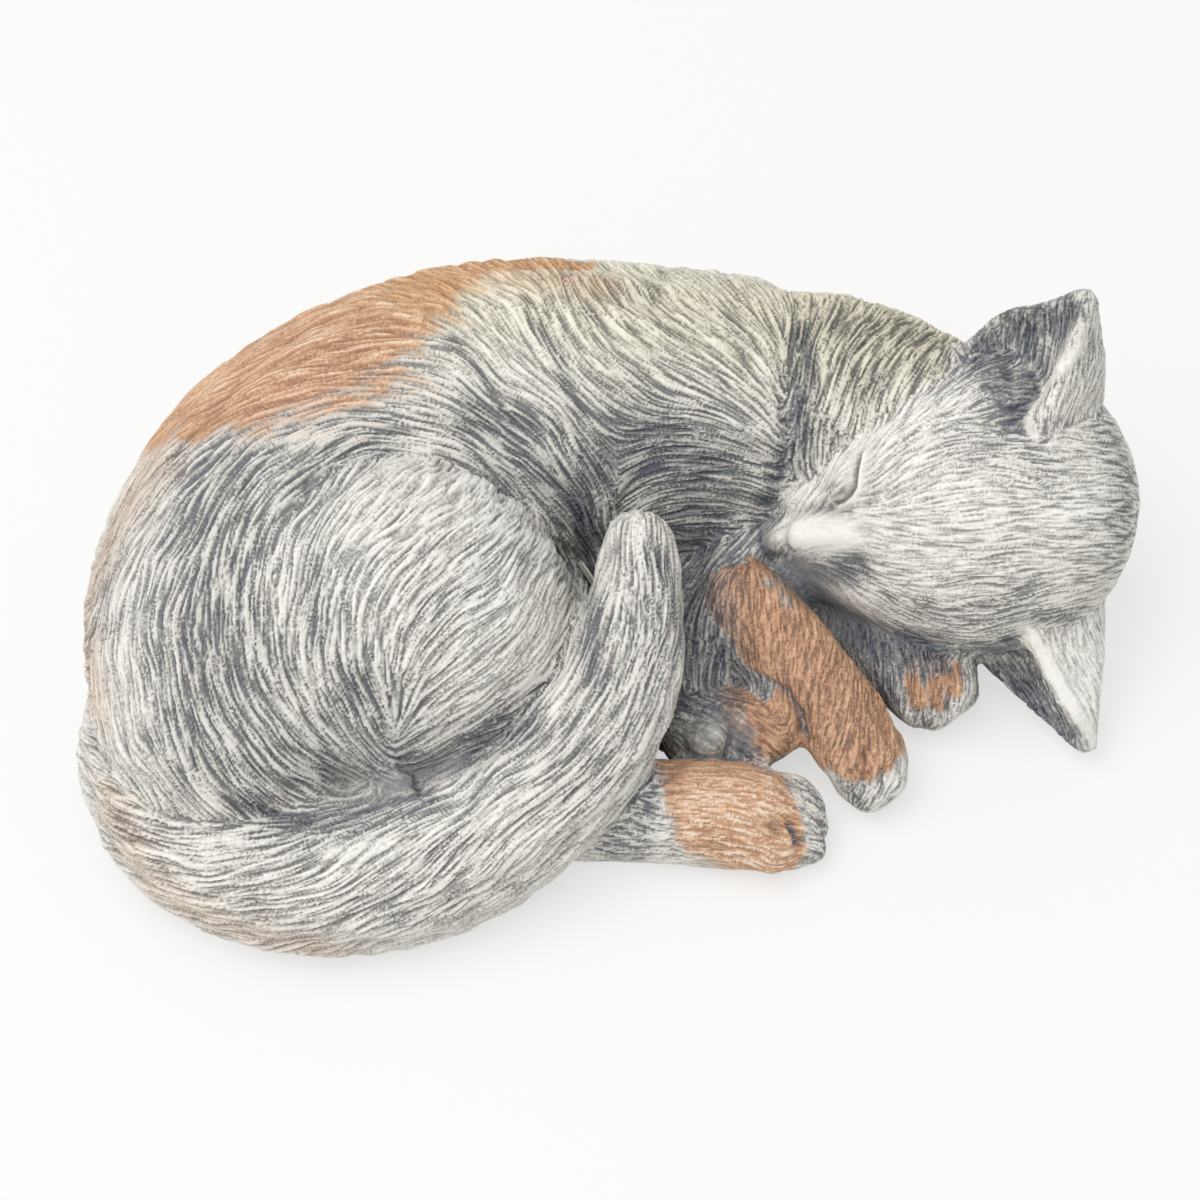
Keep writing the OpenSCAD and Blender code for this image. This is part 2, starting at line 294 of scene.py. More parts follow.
def sortFaces():
    owner = np.array([triangleOwner[solids.find_nearest(p)[2]] for p in skinPoints.tolist()])
    corner, face, pairs, ends = meshLinks(coarse)
    square = corner.reshape(-1, 4)
    middle = skinPoints[square].mean(1)
    votes = np.sort(owner[square], 1)
    node = np.where(votes[:, 1] == votes[:, 2], votes[:, 1], votes[:, 3])
    piece = np.array([pieceNames.index(n) if n in pieceNames else 0 for n in nodeNames])[node]
    for name, (line, reaches) in sections.items():
        mine = node == nodeNames.index(name)
        section = np.searchsorted(list(reaches.values()), alongLine(middle[mine], np.array(line, float)))
        piece[mine] = pieceNames.index(next(iter(reaches))) + section
    for _ in range(sortRounds):
        same = piece[pairs[:, 0]] == piece[pairs[:, 1]]
        island = islandsOf(pairs[same], len(piece))
        small = np.bincount(island, minlength=len(piece))[island] < leastIsland
        for i in np.unique(island[small]):
            touching = pairs[~same & ((island[pairs] == i).any(1))]
            around = piece[touching[island[touching] != i]]
            piece[island == i] = np.bincount(around).argmax()
        cut = piece[pairs[:, 0]] != piece[pairs[:, 1]]
        marks = (ends[cut][:, :, None] * len(pieceNames) + piece[pairs[cut]][:, None, :]).ravel()
        pinched = np.unique(np.flatnonzero(np.bincount(marks) > 2) // len(pieceNames))
        for v in pinched:              # a mass that meets itself at one point only
            about = (square == v).any(1)
            piece[about] = np.bincount(piece[about]).argmax()
        if not len(pinched) and not small.any():
            break
    return piece, square


facePiece, square = sortFaces()
ownerOf = np.zeros(len(skinPoints), int)
ownerOf[square] = nodeNumber[facePiece][:, None]
report("skin sorted into its masses")


def photoPoint(pixel, tree):       # where the camera's ray through a pixel of the photograph meets the skin
    across = (pixel[0] - photo["size"] / 2) / photo["pixelsPerMm"]
    rise = (photo["size"] / 2 - pixel[1]) / photo["pixelsPerMm"]
    through = aim + viewRight * across + viewUp * rise
    hit = tree.ray_cast(Vector(eye), Vector(through - eye))[0]
    return np.array(hit if hit is not None else tree.find_nearest(Vector(through))[0])


def path3d(points, tree):          # a pair is a pixel of the photograph, three numbers a place on the cat
    return np.array([photoPoint(p, tree) if len(p) == 2 else tree.find_nearest(Vector(p))[0]
                     for p in points])


def alongPath(path, spacing):      # points every so often along a path, with its direction there
    places, ways = [], []
    for a, b in zip(path[:-1], path[1:]):
        steps = max(1, int(np.linalg.norm(b - a) / spacing))
        for k in range(steps):
            places.append(a + (b - a) * (k + 0.5) / steps)
            ways.append(b - a)
    return np.array(places), unit(np.array(ways))


def nearPath(points, path, radii):  # how near each point is to a path: 1 on it, 0.37 at its radius
    radii = np.broadcast_to(radii, len(path))
    low, high = path.min(0) - 3 * radii.max(), path.max(0) + 3 * radii.max()
    inside = np.flatnonzero(((points > low) & (points < high)).all(1))
    near = np.zeros(len(points))
    p = points[inside]
    best = np.full(len(inside), 1e9)
    for a, b, ra, rb in zip(path[:-1], path[1:], radii[:-1], radii[1:]):
        t = np.clip(((p - a) @ (b - a)) / max((b - a) @ (b - a), 1e-9), 0, 1)
        gap = ((p - a - t[:, None] * (b - a)) ** 2).sum(1) / (ra + (rb - ra) * t) ** 2
        best = np.minimum(best, gap)
    if len(path) == 1:
        best = ((p - path[0]) ** 2).sum(1) / radii[0] ** 2
    near[inside] = np.exp(-best)
    return near


def fairSkin(points):
    firm = np.array([skinSettings["firmness"].get(n, 1.0) for n in nodeNames])[ownerOf]
    firm = blurred(firm, links, skinSettings["firmRounds"])[:, None]
    grounded = points[:, 2] < skinSettings["grounded"]
    for _ in range(skinSettings["fairing"]):
        for step in skinSettings["fairSteps"]:
            points = points + firm * step * (neighbourMean(points, links) - points)
        points[grounded, 2] = 0
    return points, grounded


skinPoints, grounded = fairSkin(skinPoints)

# Creases that the photograph shows as soft hollows, each a path and the width that it is softened over
softCreases = [
    ([(330, 455), (292, 510), (285, 590), (300, 670), (335, 735)], 24),     # hip into thigh
    ([(88, 700), (110, 735), (170, 768), (240, 788)], 24),                  # rump into tail
    ([(-140, -40, 40), (-150, -32, 20), (-148, -34, 8)], 28),
    ([(578, 510), (587, 545), (592, 580)], 9),                              # slit between thigh and tail
    ([(795, 290), (800, 330)], 14),                                         # shoulders into neck
    ([(52, 95, 40), (53, 80, 80), (52, 60, 92)], 16),
    ([(915, 325), (960, 345)], 9),                                          # neck into head
    ([(108, 55, 80), (120, 55, 60), (128, 50, 40)], 16),
]


def treeOver(points):
    return BVHTree.FromPolygons(points.tolist(), [f.vertices[:] for f in coarse.polygons])


def softenSkin(points):
    tree = treeOver(points)
    soft = np.zeros(len(points))
    for path, width in softCreases:
        soft = np.maximum(soft, nearPath(points, path3d(path, tree), width))
    soft = soft[:, None]
    for _ in range(skinSettings["soften"]):
        points = points + skinSettings["softenStep"] * soft * (neighbourMean(points, links) - points)
        points[grounded, 2] = 0
    return points


def findHollows(points):           # positive in creases, negative on crests, in millimetres
    writePoints(coarse, points)
    mean = blurred(points, links, skinSettings["hollowRounds"])
    return ((mean - points) * readNormals(coarse)).sum(1)


skinPoints = softenSkin(nudged(skinPoints, skinNudges))
hollow = findHollows(skinPoints)
skinNormals = readNormals(coarse)
skinTree = treeOver(skinPoints)
report("skin faired, soft creases filled")

# Fur lies along combed paths drawn over the photograph, each mass with its own: the lay breaks at creases
flow = np.zeros((len(skinPoints), 3))
pieces = {}
combWidth = 10.0         # how far a combed path reaches to its sides
combSpacing = 4.0
coreSpacing = 6.0
plainWeight = 2e-3       # of the plain lay, which holds where no combed path reaches
shortFur = {"strand": 0.45, "stroke": 3.2}                 # finer and shorter, on paws and ears


def tangentFrame(normals):
    across = np.cross(normals, (0.0, 0.0, 1.0))
    across[np.linalg.norm(across, axis=1) < 1e-3] = (1.0, 0.0, 0.0)
    across = unit(across)
    return across, np.cross(normals, across)


def comb(name, settings):
    pieces[name] = settings
    mine = np.flatnonzero(ownerOf == nodeNames.index(name))
    points, normals = skinPoints[mine], skinNormals[mine]
    across, along = tangentFrame(normals)
    double = np.zeros((len(mine), 2))      # the lay has no sign, so its doubled angle is averaged

    def add(ways, weights):
        a = (ways * across).sum(-1)
        b = (ways * along).sum(-1)
        double[:, 0] += weights * (a * a - b * b)
        double[:, 1] += weights * 2 * a * b

    core = np.array(settings["core"], float)
    if "whorl" in settings:                # fur that spreads from one spot
        add(unit(points - np.array(settings["whorl"])), plainWeight)
    else:                                  # fur along the mass, drooping a little
        middles, ways = alongPath(core, coreSpacing)
        nearest = ((points[:, None] - middles[None]) ** 2).sum(2).argmin(1)
        add(unit(ways[nearest] + np.array(settings.get("droop", (0, 0, 0)))), plainWeight)
    for path in settings.get("combs", []):
        places, ways = alongPath(path3d(path, skinTree), combSpacing)
        for place, way in zip(places, ways):
            reach = ((points - place) ** 2).sum(1) / (2 * settings.get("combWidth", combWidth) ** 2)
            add(way, np.exp(-reach))
    angle = 0.5 * np.arctan2(double[:, 1], double[:, 0])
    flow[mine] = np.cos(angle)[:, None] * across + np.sin(angle)[:, None] * along


trunk = {
    "slot": "painted_coat",
    "core": spine,
    "droop": (0, 0, -0.5),
    "furDepth": 1.1,
    "ginger": [
        ([(205, 420), (262, 372), (330, 330), (395, 292), (455, 268), (530, 262), (580, 266)],
         (8, 20, 26, 20, 12, 8, 4), 1.0),  # patch on the back
        ([(-118, 40, 75), (-100, 68, 75), (-72, 88, 72), (-40, 98, 68), (-18, 99, 72)],
         (20, 26, 26, 19, 8), 1.0),  # its far side
    ],
    "tint": [
        ([(95, 700), (85, 620), (110, 540), (150, 470)], 12, 0.35),  # edge of the rump
        ([(470, 276), (540, 276), (600, 282)], 7, 0.4),  # end of the patch
    ],
    "moss": [
        ([(460, 285), (600, 290), (700, 300), (780, 310)], 24, 1.0),  # crest of the back
        ([(-40, 95, 70), (0, 102, 60), (40, 100, 55)], 30, 0.8),  # its far side
    ],
    "slateAndShade": [
        ([(100, 600), (130, 520), (170, 470)], 22, 0.32),  # rump
        ([(215, 480), (200, 560), (195, 640), (205, 720)], 20, 0.5),  # hip
        ([(480, 420), (540, 450), (585, 520)], 9, 0.6),  # loin beside the knee
        ([(522, 298), (550, 345), (568, 395)], 2.2, 0.5),  # gaps between locks
        ([(453, 340), (497, 390)], 2.2, 0.5),
        ([(560, 360), (585, 420)], 2.2, 0.5),
        ([(600, 300), (700, 310), (770, 330)], 16, 0.2),  # back
        ([(600, 470), (640, 450), (700, 470), (690, 560), (690, 640)], 17, 0.8),  # slate wash and painted shade in the belly hollow
        ([(796, 288), (801, 332), (805, 385), (792, 450), (771, 489), (763, 536), (777, 568)],
         6, 0.8),  # against neck and nose
    ],
    "combs": [
        [(171, 454), (127, 528), (97, 602), (82, 676), (78, 742)],
        [(215, 476), (164, 539), (138, 602), (134, 669), (156, 724)],
        [(238, 502), (208, 572), (204, 639), (219, 706), (252, 757)],
        [(253, 735), (270, 765), (300, 788), (340, 796)],
        [(300, 735), (318, 760), (340, 778), (360, 786)],
        [(300, 387), (226, 417), (182, 447)],
        [(393, 391), (319, 410), (245, 443), (201, 484)],
        [(554, 258), (593, 314), (633, 356), (689, 387)],
        [(633, 275), (666, 314), (717, 348), (767, 398)],
        [(717, 278), (753, 323), (787, 370), (798, 410)],
        [(784, 281), (798, 323), (804, 370)],
        [(478, 272), (515, 295), (543, 342), (562, 387), (576, 426)],
        [(436, 323), (492, 353), (526, 398), (571, 443), (588, 499)],
        [(380, 365), (436, 365), (478, 387), (526, 432), (560, 471)],
        [(380, 410), (436, 410), (487, 426), (532, 454), (560, 483)],
        [(604, 390), (661, 396), (731, 410), (787, 443)],
        [(633, 460), (675, 432), (731, 432), (781, 463)],
        [(649, 499), (683, 471), (728, 466), (764, 483)],
        [(666, 527), (697, 505), (734, 497), (759, 508)],
        [(677, 561), (703, 533), (736, 527), (759, 533)],
        [(728, 542), (700, 584), (686, 635), (692, 682)],
    ],
}
comb("trunk", trunk)

heel = [(388, 789), (406, 781)]
heelCrease = [(402, 766), (418, 773), (421, 789)]
haunch = {
    "slot": "painted_coat",
    "core": [(-63, -16, 38)],
    "whorl": (-55, -62, 40),
    "furDepth": 1.1,
    "slateAndShade": [
        ([(380, 770), (440, 760), (520, 725)], 8, 0.8),  # along the tail
        ([(355, 690), (375, 730), (395, 765)], 11, 0.5),  # above the heel
        ([(345, 470), (322, 510), (310, 570), (318, 640)], 7, 0.35),  # behind the thigh
        ([(298, 488), (335, 464), (385, 446)], 8, 0.45),  # croup
        ([(540, 480), (572, 520), (588, 570)], 6, 0.6),  # knee
        ([(576, 500), (586, 530), (590, 570)], 5, 1.15),  # painted shadow in the dark gap beside the tail
        (heel, 4.5, 0.85),
        # painted shadow in the crease round the heel
        (heelCrease, 1.8, 1.15),
        ([(325, 768), (350, 782), (368, 786)], 7, 0.6),  # behind the heel
        ([(428, 774), (452, 762), (480, 744)], 6.5, 0.85),  # in front of the heel
        ([(428, 752), (456, 744)], 6.5, 0.5),
        ([(376, 797), (398, 800), (422, 796)], 1.8, 0.7),  # painted shadow under the heel
        ([(262, 758), (320, 775), (372, 772)], 9, 0.4),  # foot of the thigh
        ([(250, 806), (300, 822), (345, 815), (385, 803), (420, 797)], 6.5, 0.75),  # painted shade in the crease over the tail
    ],
    "smooth": [
        (heel, 4.5, 1.0),
        ([(430, 770), (452, 758)], 5, 0.6),
        ([(340, 776), (356, 784)], 6, 0.7),
    ],
    "bright": [
        ([(400, 480), (480, 500), (545, 560), (530, 630)], 16, 0.5),  # painted highlight on the crown of the thigh
    ],
    "carve": [
        ([(270, 548)], 1.3, 1.5),  # a bead of stray concrete
        ([(322, 491), (315, 560), (322, 640), (343, 705)], 7, -1.6),  # hollow behind the thigh
        (heelCrease, 1.6, -2.4),
        ([(541, 717)], 1.1, 1.3),  # more beads
        ([(549, 709)], 1.0, 1.2),
    ],
    "combs": [
        [(538, 476), (547, 509), (540, 554), (513, 599), (473, 643), (429, 688), (395, 728)],
        [(569, 509), (571, 554), (562, 599), (536, 643), (495, 672), (451, 699), (417, 732)],
        [(507, 460), (491, 498), (464, 536), (429, 563), (395, 585), (375, 616), (370, 654), (375, 699),
         (382, 726)],
        [(473, 458), (446, 487), (420, 516), (393, 545), (366, 576), (348, 621), (346, 665), (357, 699),
         (375, 728)],
        [(576, 621), (567, 643), (540, 672), (495, 699), (451, 726), (420, 744)],
        [(406, 453), (375, 482), (346, 514), (317, 545), (306, 587), (310, 632), (321, 677), (339, 710),
         (366, 732)],
        [(357, 456), (324, 482), (301, 516), (286, 554), (279, 599), (274, 643), (279, 688), (295, 721)],
        [(522, 713), (467, 735), (422, 754)],
        [(253, 735), (270, 765), (300, 788), (350, 797), (385, 796)],
        [(300, 735), (315, 762), (340, 782), (380, 790)],
        [(340, 735), (355, 758), (375, 772), (392, 778)],
        [(267, 528), (260, 602), (267, 676), (300, 731), (356, 765)],
    ],
}
comb("haunch", haunch)

tail = {
    "slot": "painted_coat",
    "core": tailLine,
    "furDepth": 1.2,
    "tint": [
        ([(110, 800), (150, 880), (240, 930), (330, 950)], 9, 0.3),  # worn root
    ],
    "slateAndShade": [
        ([(592, 530), (592, 620), (600, 680)], 6, 0.7),  # painted shade in the slit against the thigh
        ([(640, 640), (620, 720), (570, 780)], 14, 0.35),  # bend
        ([(660, 560), (682, 640), (678, 720)], 5, 0.6),  # against the belly
    ],
    "bright": [
        ([(632, 660), (625, 700), (590, 770), (520, 830)], 9, 0.6),  # crest of the bend
    ],
    "combs": [
        [(115, 755), (164, 773), (207, 778), (243, 783)],
        [(108, 791), (151, 801), (202, 806), (263, 804)],
        [(100, 806), (133, 829), (177, 842), (228, 839), (289, 837)],
        [(115, 842), (151, 860), (202, 865), (253, 857), (304, 842), (342, 827)],
        [(125, 862), (164, 883), (215, 891), (266, 883), (317, 862), (355, 842), (393, 816)],
        [(151, 893), (202, 913), (253, 916), (304, 903), (355, 883), (393, 855), (432, 824), (470, 799)],
        [(189, 921), (253, 939), (317, 936), (368, 919), (419, 893), (457, 860), (498, 824)],
        [(228, 941), (304, 954), (381, 947), (444, 924), (498, 893), (545, 850)],
        [(500, 860), (560, 800), (600, 740), (625, 680), (635, 620), (632, 560), (628, 525)],
        [(540, 850), (600, 790), (645, 720), (668, 650), (672, 590), (660, 545)],
        [(480, 800), (540, 750), (580, 690), (600, 630), (603, 570), (612, 535)],
    ],
}
comb("tail", tail)

neck = {
    "slot": "painted_coat",
    "core": [(47, 55, 43), (75, 50, 42), (103, 38, 40)],
    "furDepth": 1.2,
    "moss": [
        ([(800, 300), (860, 320), (910, 325)], 25, 1.3),
    ],
    "slateAndShade": [
        ([(805, 330), (850, 335), (905, 330)], 12, 0.55),
    ],
    "combs": [
        [(807, 383), (802, 335), (791, 284)],
        [(815, 378), (823, 340), (828, 297)],
        [(828, 359), (852, 332), (869, 311)],
        [(860, 340), (890, 327), (914, 318)],
    ],
}
comb("neck", neck)

lidFold = [(858, 468), (857, 477), (856, 486), (851, 494), (843, 501), (834, 503)]
lidRim = [(865, 455), (862, 470), (861, 479), (860, 489), (855, 498), (846, 505), (837, 508)]
padEdge = [(787, 550), (783, 534), (789, 519), (803, 511), (825, 508)]
whiskerPad = [(798, 533), (842, 535)]
nose = [(771, 543)]
nostril = [(772, 557)]
mouthCorner = [(858, 564)]
head = {
    "slot": "painted_coat",
    "core": [(97, 21, 48)],
    "whorl": (48, 10, 46),
    "furDepth": 0.55,
    "strand": 0.45,
    "stroke": 4.2,
    "combWidth": 7.0,
    "smooth": [
        ([(795, 533), (845, 535)], 6.5, 1.0),  # whisker pad
        ([(864, 452), (858, 476), (851, 494), (837, 504)], 3.5, 1.0),  # lid
        ([(843, 478)], 5, 0.6),
        (nose, 4.5, 1.0),
        ([(800, 572), (830, 592), (850, 615)], 10, 0.9),  # chin
    ],
    "carve": [
        ([(861, 452)] + lidFold, 0.9, -1.5),
        (lidRim, 0.9, 1.2),
        ([(843, 478)], 5.5, 1.2),  # eyeball under the lid
        (whiskerPad, 5.2, 1.6),
        (padEdge + [(846, 512)], 1.7, -2.2),
        (nose, 3.2, 1.6),
        (nostril, 1.5, -2.0),
        (mouthCorner, 3, -2.0),
    ],
    "slateAndShade": [
        ([(861, 454)] + lidFold, 0.8, 1.0),
        ([(832, 492), (848, 492)], 2.5, 0.5),  # shadow on the lid
        # painted shadow line along the edge of the whisker pad
        (padEdge + [(850, 514)], 1.5, 0.6),
        ([(760, 526), (761, 545), (771, 560)], 1.6, 1.15),  # outline of the nose
        ([(768, 530)], 2.4, 0.9),
        ([(773, 545)], 2.0, 0.45),
        (nostril, 1.4, 1.15),
        ([(798, 570), (830, 574), (856, 568)], 6, 0.95),  # painted shade over the mouth
        (mouthCorner, 2.5, 1.0),
        ([(790, 580), (820, 600), (850, 625), (880, 648), (930, 652)], 10, 1.1),  # painted shade under the chin
        ([(960, 440), (1010, 450), (1050, 470)], 6, 0.35),  # painted shadow line at the temple, along the base of the ear
        ([(900, 610), (960, 620), (1020, 600)], 9, 0.35),  # cheek
        ([(850, 380), (890, 365), (930, 355)], 9, 0.35),  # forehead
        ([(1110, 440), (1128, 520), (1118, 600)], 9, 0.35),  # crown
        ([(985, 345), (1000, 385), (1015, 422)], 6.5, 0.9),  # in front of the ear
        ([(1042, 614), (1062, 618)], 3.0, 0.6),  # behind the lower ear
    ],
    "bright": [
        (whiskerPad, 6, 1.6),
        # painted highlight along the rim of the lower lid
        (lidRim, 0.9, 2.2),
        ([(790, 500), (824, 465), (840, 400), (858, 362)], 7, 0.8),  # bridge of the nose
        ([(900, 560), (960, 520), (1040, 520)], 24, 0.4),  # cheek
    ],
    "ginger": [
        ([(859, 632)], 2.2, 0.8),  # a stray dab
    ],
    "combs": [
        [(847, 536), (928, 531), (1008, 528), (1088, 528), (1134, 525)],
        [(861, 496), (914, 474), (968, 448), (1003, 445), (1035, 458), (1088, 464), (1128, 464)],
        [(874, 464), (906, 426), (944, 399), (976, 386)],
        [(869, 431), (890, 389), (922, 356), (944, 340)],
        [(834, 448), (839, 399), (855, 362), (885, 335), (914, 319)],
        [(807, 448), (810, 399), (826, 362), (853, 332)],
        [(780, 509), (807, 474), (828, 458)],
        [(869, 555), (928, 560), (994, 557), (1061, 555), (1128, 544)],
        [(869, 571), (914, 587), (968, 595), (1021, 590), (1075, 571), (1123, 568)],
        [(866, 590), (901, 614), (944, 627), (981, 627), (1021, 608), (1075, 590)],
        [(863, 606), (890, 635), (922, 646), (954, 646)],
        [(1048, 488), (1088, 490), (1128, 496)],
    ],
}
comb("head", head)

earLip = [(1084, 326), (1076, 347), (1065, 368), (1046, 389), (1037, 405), (1030, 424)]
earTufts = [
    [(1020, 403), (1031, 368), (1042, 340)],
    [(1027, 402), (1037, 375), (1049, 337)],
    [(1009, 403), (998, 370)],
]
cupPit = [(1006, 367), (1010, 378)]
farEar = {
    "slot": "slate_wash",
    "core": [(112, 38, 80), (128, 44, 104)],
    "furDepth": 0.45,
    **shortFur,
    "carve": [
        (earLip, 1.5, 1.0),
        *[(tuft, 0.9, 0.7) for tuft in earTufts],
        (cupPit, 2.0, -1.5),
    ],
    "slateAndShade": [
        ([(985, 358), (1015, 345), (1040, 330), (1068, 312)], 10, 0.88),  # cup
        ([(1040, 360), (1025, 390), (1015, 415)], 6, 1.0),
        (cupPit, 2.2, 1.15),
        ([(986, 386)], 2.5, 1.1),
    ],
    "bright": [
        ([(955, 335), (1000, 312), (1060, 293), (1090, 298), (1097, 330)], 2.2, 1.6),  # rim
        (earLip + [(1034, 446)], 1.8, 2.4),
        *[(tuft, 0.8, rise) for tuft, rise in zip(earTufts, (2.4, 2.4, 2.0))],
    ],
    "combs": [
        [(960, 352), (985, 372), (1000, 395)],
        [(1000, 330), (1008, 352), (1010, 385)],
        [(1042, 318), (1036, 350), (1022, 395)],
        [(1072, 312), (1060, 345), (1040, 380)],
        [(1090, 340), (1078, 375), (1062, 410), (1050, 440)],
    ],
}
comb("far_ear", farEar)

nearEar = {
    "slot": "slate_wash",
    "core": [(116, -4, 36), (134, -30, 14)],
    "furDepth": 0.45,
    **shortFur,
    "smooth": [
        ([(1022, 626), (1054, 677), (1092, 740)], 3.0, 0.9),  # rim
    ],
    "slateAndShade": [
        ([(988, 648), (1020, 682), (1050, 716), (1072, 735)], 6.5, 1.05),  # cup
        ([(1008, 640), (1034, 680)], 4.0, 1.0),
        ([(1040, 614), (1072, 618)], 3.5, 0.6),
        ([(102, -6, 16), (106, -9, 13), (110, -12, 13)], 4.5, 1.15),  # painted shadow in the dark gap beside the paw
    ],
    "bright": [
        ([(1022, 622), (1054, 675), (1095, 742)], 1.8, 3.2),  # rim
        ([(1060, 640), (1085, 680), (1092, 720)], 12, 0.8),  # outside
    ],
    "combs": [
        [(1075, 620), (1088, 670), (1093, 725)],
        [(1050, 630), (1072, 675), (1090, 730)],
        [(1000, 650), (1025, 690), (1060, 725)],
    ],
}
comb("near_ear", nearEar)

nearShoulder = {
    "slot": "slate_wash",
    "core": [(45, 20, 25), (33, -3, 23)],
    "furDepth": 0.8,
    "slateAndShade": [
        ([(700, 560), (700, 620), (705, 690)], 20, 0.85),
    ],
    "combs": [[(728, 542), (700, 584), (686, 635), (692, 682)]],
}
comb("near_shoulder", nearShoulder)

elbowEdge = [(720, 640), (744, 671), (764, 688)]
pawCrease = [(763, 680), (784, 693), (799, 716), (803, 737)]                 # against the hind paw
nearForeleg = {
    "slot": "ginger_paint",
    "core": [(40, -7, 34), (54, -22, 26), (69, -40, 12)],
    "furDepth": 0.6,
    **shortFur,
    "ginger": [
        ([(735, 600), (775, 625), (815, 670), (845, 730), (860, 765)], 26, 1.0),
    ],
    "bare": [
        ([(770, 582), (788, 605)], 4, 0.55),
        ([(840, 786), (868, 800), (903, 780)], 7, 1.3),  # toes
        (elbowEdge, 3.5, 1.1),
    ],
    "carve": [
        ([(848, 768)], 5, 1.6),  # toes
        ([(866, 806)], 4.5, 1.8),
        ([(896, 786)], 4.5, 1.8),
        ([(867, 752), (865, 781), (860, 790)], 1.6, -2.4),  # between them
        ([(884, 772), (889, 800)], 1.5, -2.0),
        (pawCrease, 2.2, -2.2),
    ],
    "slateAndShade": [
        (pawCrease, 2.2, 0.85),
        ([(865, 755), (863, 781), (855, 803)], 1.0, 0.6),
        ([(846, 785), (862, 800)], 3.5, 0.5),
        (elbowEdge, 4.0, 0.9),
        ([(725, 600), (775, 640), (815, 690), (850, 750)], 16, 0.3),  # whole leg, thinly
        ([(800, 590), (850, 650), (872, 700)], 1.6, 0.6),
    ],
    "bright": [
        ([(789, 652)], 2.6, 1.0),
    ],
    "combs": [
        [(740, 584), (734, 626), (740, 657)],
        [(784, 593), (784, 640), (782, 680)],
        [(835, 640), (829, 696), (818, 747)],
        [(869, 682), (863, 739), (846, 781)],
    ],
}
comb("near_foreleg", nearForeleg)

toeGrooves = [
    [(909, 658), (906, 690), (912, 712)],
    [(929, 656), (930, 690), (932, 712)],
    [(948, 658), (952, 690), (948, 712)],
]
farForeleg = {
    "slot": "ginger_paint",
    "core": [(58, 18, 16), (80, -3, 14), (92, -14, 13)],
    "furDepth": 0.6,
    **shortFur,
    "ginger": [
        ([(914, 664), (917, 702)], 3.5, 0.65),
        ([(936, 656), (939, 706)], 3.5, 0.65),
        ([(957, 670), (954, 690)], 3.0, 0.6),
    ],
    "carve": [
        *[(groove, 1.3, -1.6) for groove in toeGrooves],
        ([(890, 728)], 3.8, -2.2),  # corners, rounded off
        ([(978, 722)], 4.5, -2.0),
    ],
    "slateAndShade": [
        # painted shadow between the near foreleg and the paw
        ([(885, 655), (889, 690), (894, 712)], 5.5, 0.85),
        ([(975, 660), (978, 690), (972, 708)], 5, 0.85),
        ([(900, 645), (940, 645), (970, 650)], 4, 0.8),  # painted shade under the cheek
        ([(925, 680), (955, 685)], 10, 0.2),
        ([(886, 706), (898, 718), (925, 725), (955, 721), (976, 702)], 3.5, 0.6),  # lower rim
        *[(groove, 1.0, 0.5) for groove in toeGrooves],
    ],
    "combs": [[(911, 654), (908, 710)], [(953, 657), (958, 702)]],
}
comb("far_foreleg", farForeleg)

nearHindFoot = {
    "slot": "ginger_paint",
    "core": [(-16, -57, 12), (20, -58, 12), (47, -60, 9)],
    "furDepth": 0.6,
    **shortFur,
    "ginger": [
        ([(705, 800), (750, 815), (785, 845)], 19, 1.0),
    ],
    "bare": [
        ([(806, 794), (816, 822), (814, 862)], 4.8, 1.4),  # toes
        ([(640, 800), (655, 860)], 8, 1.0),  # hock
    ],
    "carve": [
        ([(774, 862)], 5, 2.6),  # toes
        ([(818, 852)], 4.0, 1.5),
        ([(822, 812)], 4.0, 1.5),
        ([(793, 824), (800, 845), (804, 868)], 1.8, -3.6),  # between them
        ([(778, 826)], 2.8, -2.0),
        ([(806, 800), (818, 818)], 1.2, -1.0),
    ],
    "slateAndShade": [
        ([(620, 850), (640, 815), (655, 780)], 9, 0.6),  # hock
        ([(640, 866), (700, 872)], 5, 0.5),
        ([(795, 826), (801, 845), (804, 868)], 1.4, 1.1),
        ([(778, 826)], 2.5, 0.7),
        ([(815, 800), (824, 825), (814, 855)], 4, 0.6),
        ([(680, 765), (740, 762), (790, 785)], 2.5, 0.6),  # upper edge
    ],
    "bright": [
        ([(700, 800), (745, 820), (780, 850)], 13, 1.2),
    ],
    "combs": [
        [(680, 790), (730, 790), (785, 805)],
        [(675, 825), (730, 830), (790, 850)],
    ],
}
comb("near_hind_foot", nearHindFoot)

pawPad = [(708, 737)]
padGroove = [(729, 712), (731, 735), (728, 757)]
farHindPaw = {
    "slot": "ginger_paint",
    "core": [(20, -31, 14), (43, -33, 16)],
    "furDepth": 0.5,
    **shortFur,
    "ginger": [
        ([(745, 702), (770, 712), (784, 740)], 7.5, 1.0),  # back of the paw
    ],
    "smooth": [
        (pawPad, 7, 1.0),
        ([(738, 735)], 5, 1.0),
    ],
    "carve": [
        (pawPad, 5.2, 3.8),
        (padGroove, 1.6, -2.0),
        ([(758, 716), (765, 735), (762, 756)], 1.4, -1.0),
    ],
    "slateAndShade": [
        ([(690, 700), (700, 712)], 5, 1.0),
        (pawPad, 6, 0.8),
        ([(738, 715), (742, 740), (748, 757)], 4.5, 0.9),
        (padGroove, 1.8, 1.1),
        ([(688, 745), (700, 760), (720, 760)], 2.5, 1.1),
    ],
    "bright": [
        # painted highlights on the pad and on the back of the paw
        ([(713, 735)], 2.0, 1.2),
        ([(744, 717)], 2.0, 1.2),
    ],
    "combs": [
        [(742, 702), (768, 704), (788, 722)],
        [(745, 715), (765, 728), (775, 750)],
    ],
}
comb("far_hind_paw", farHindPaw)
report("fur combed")


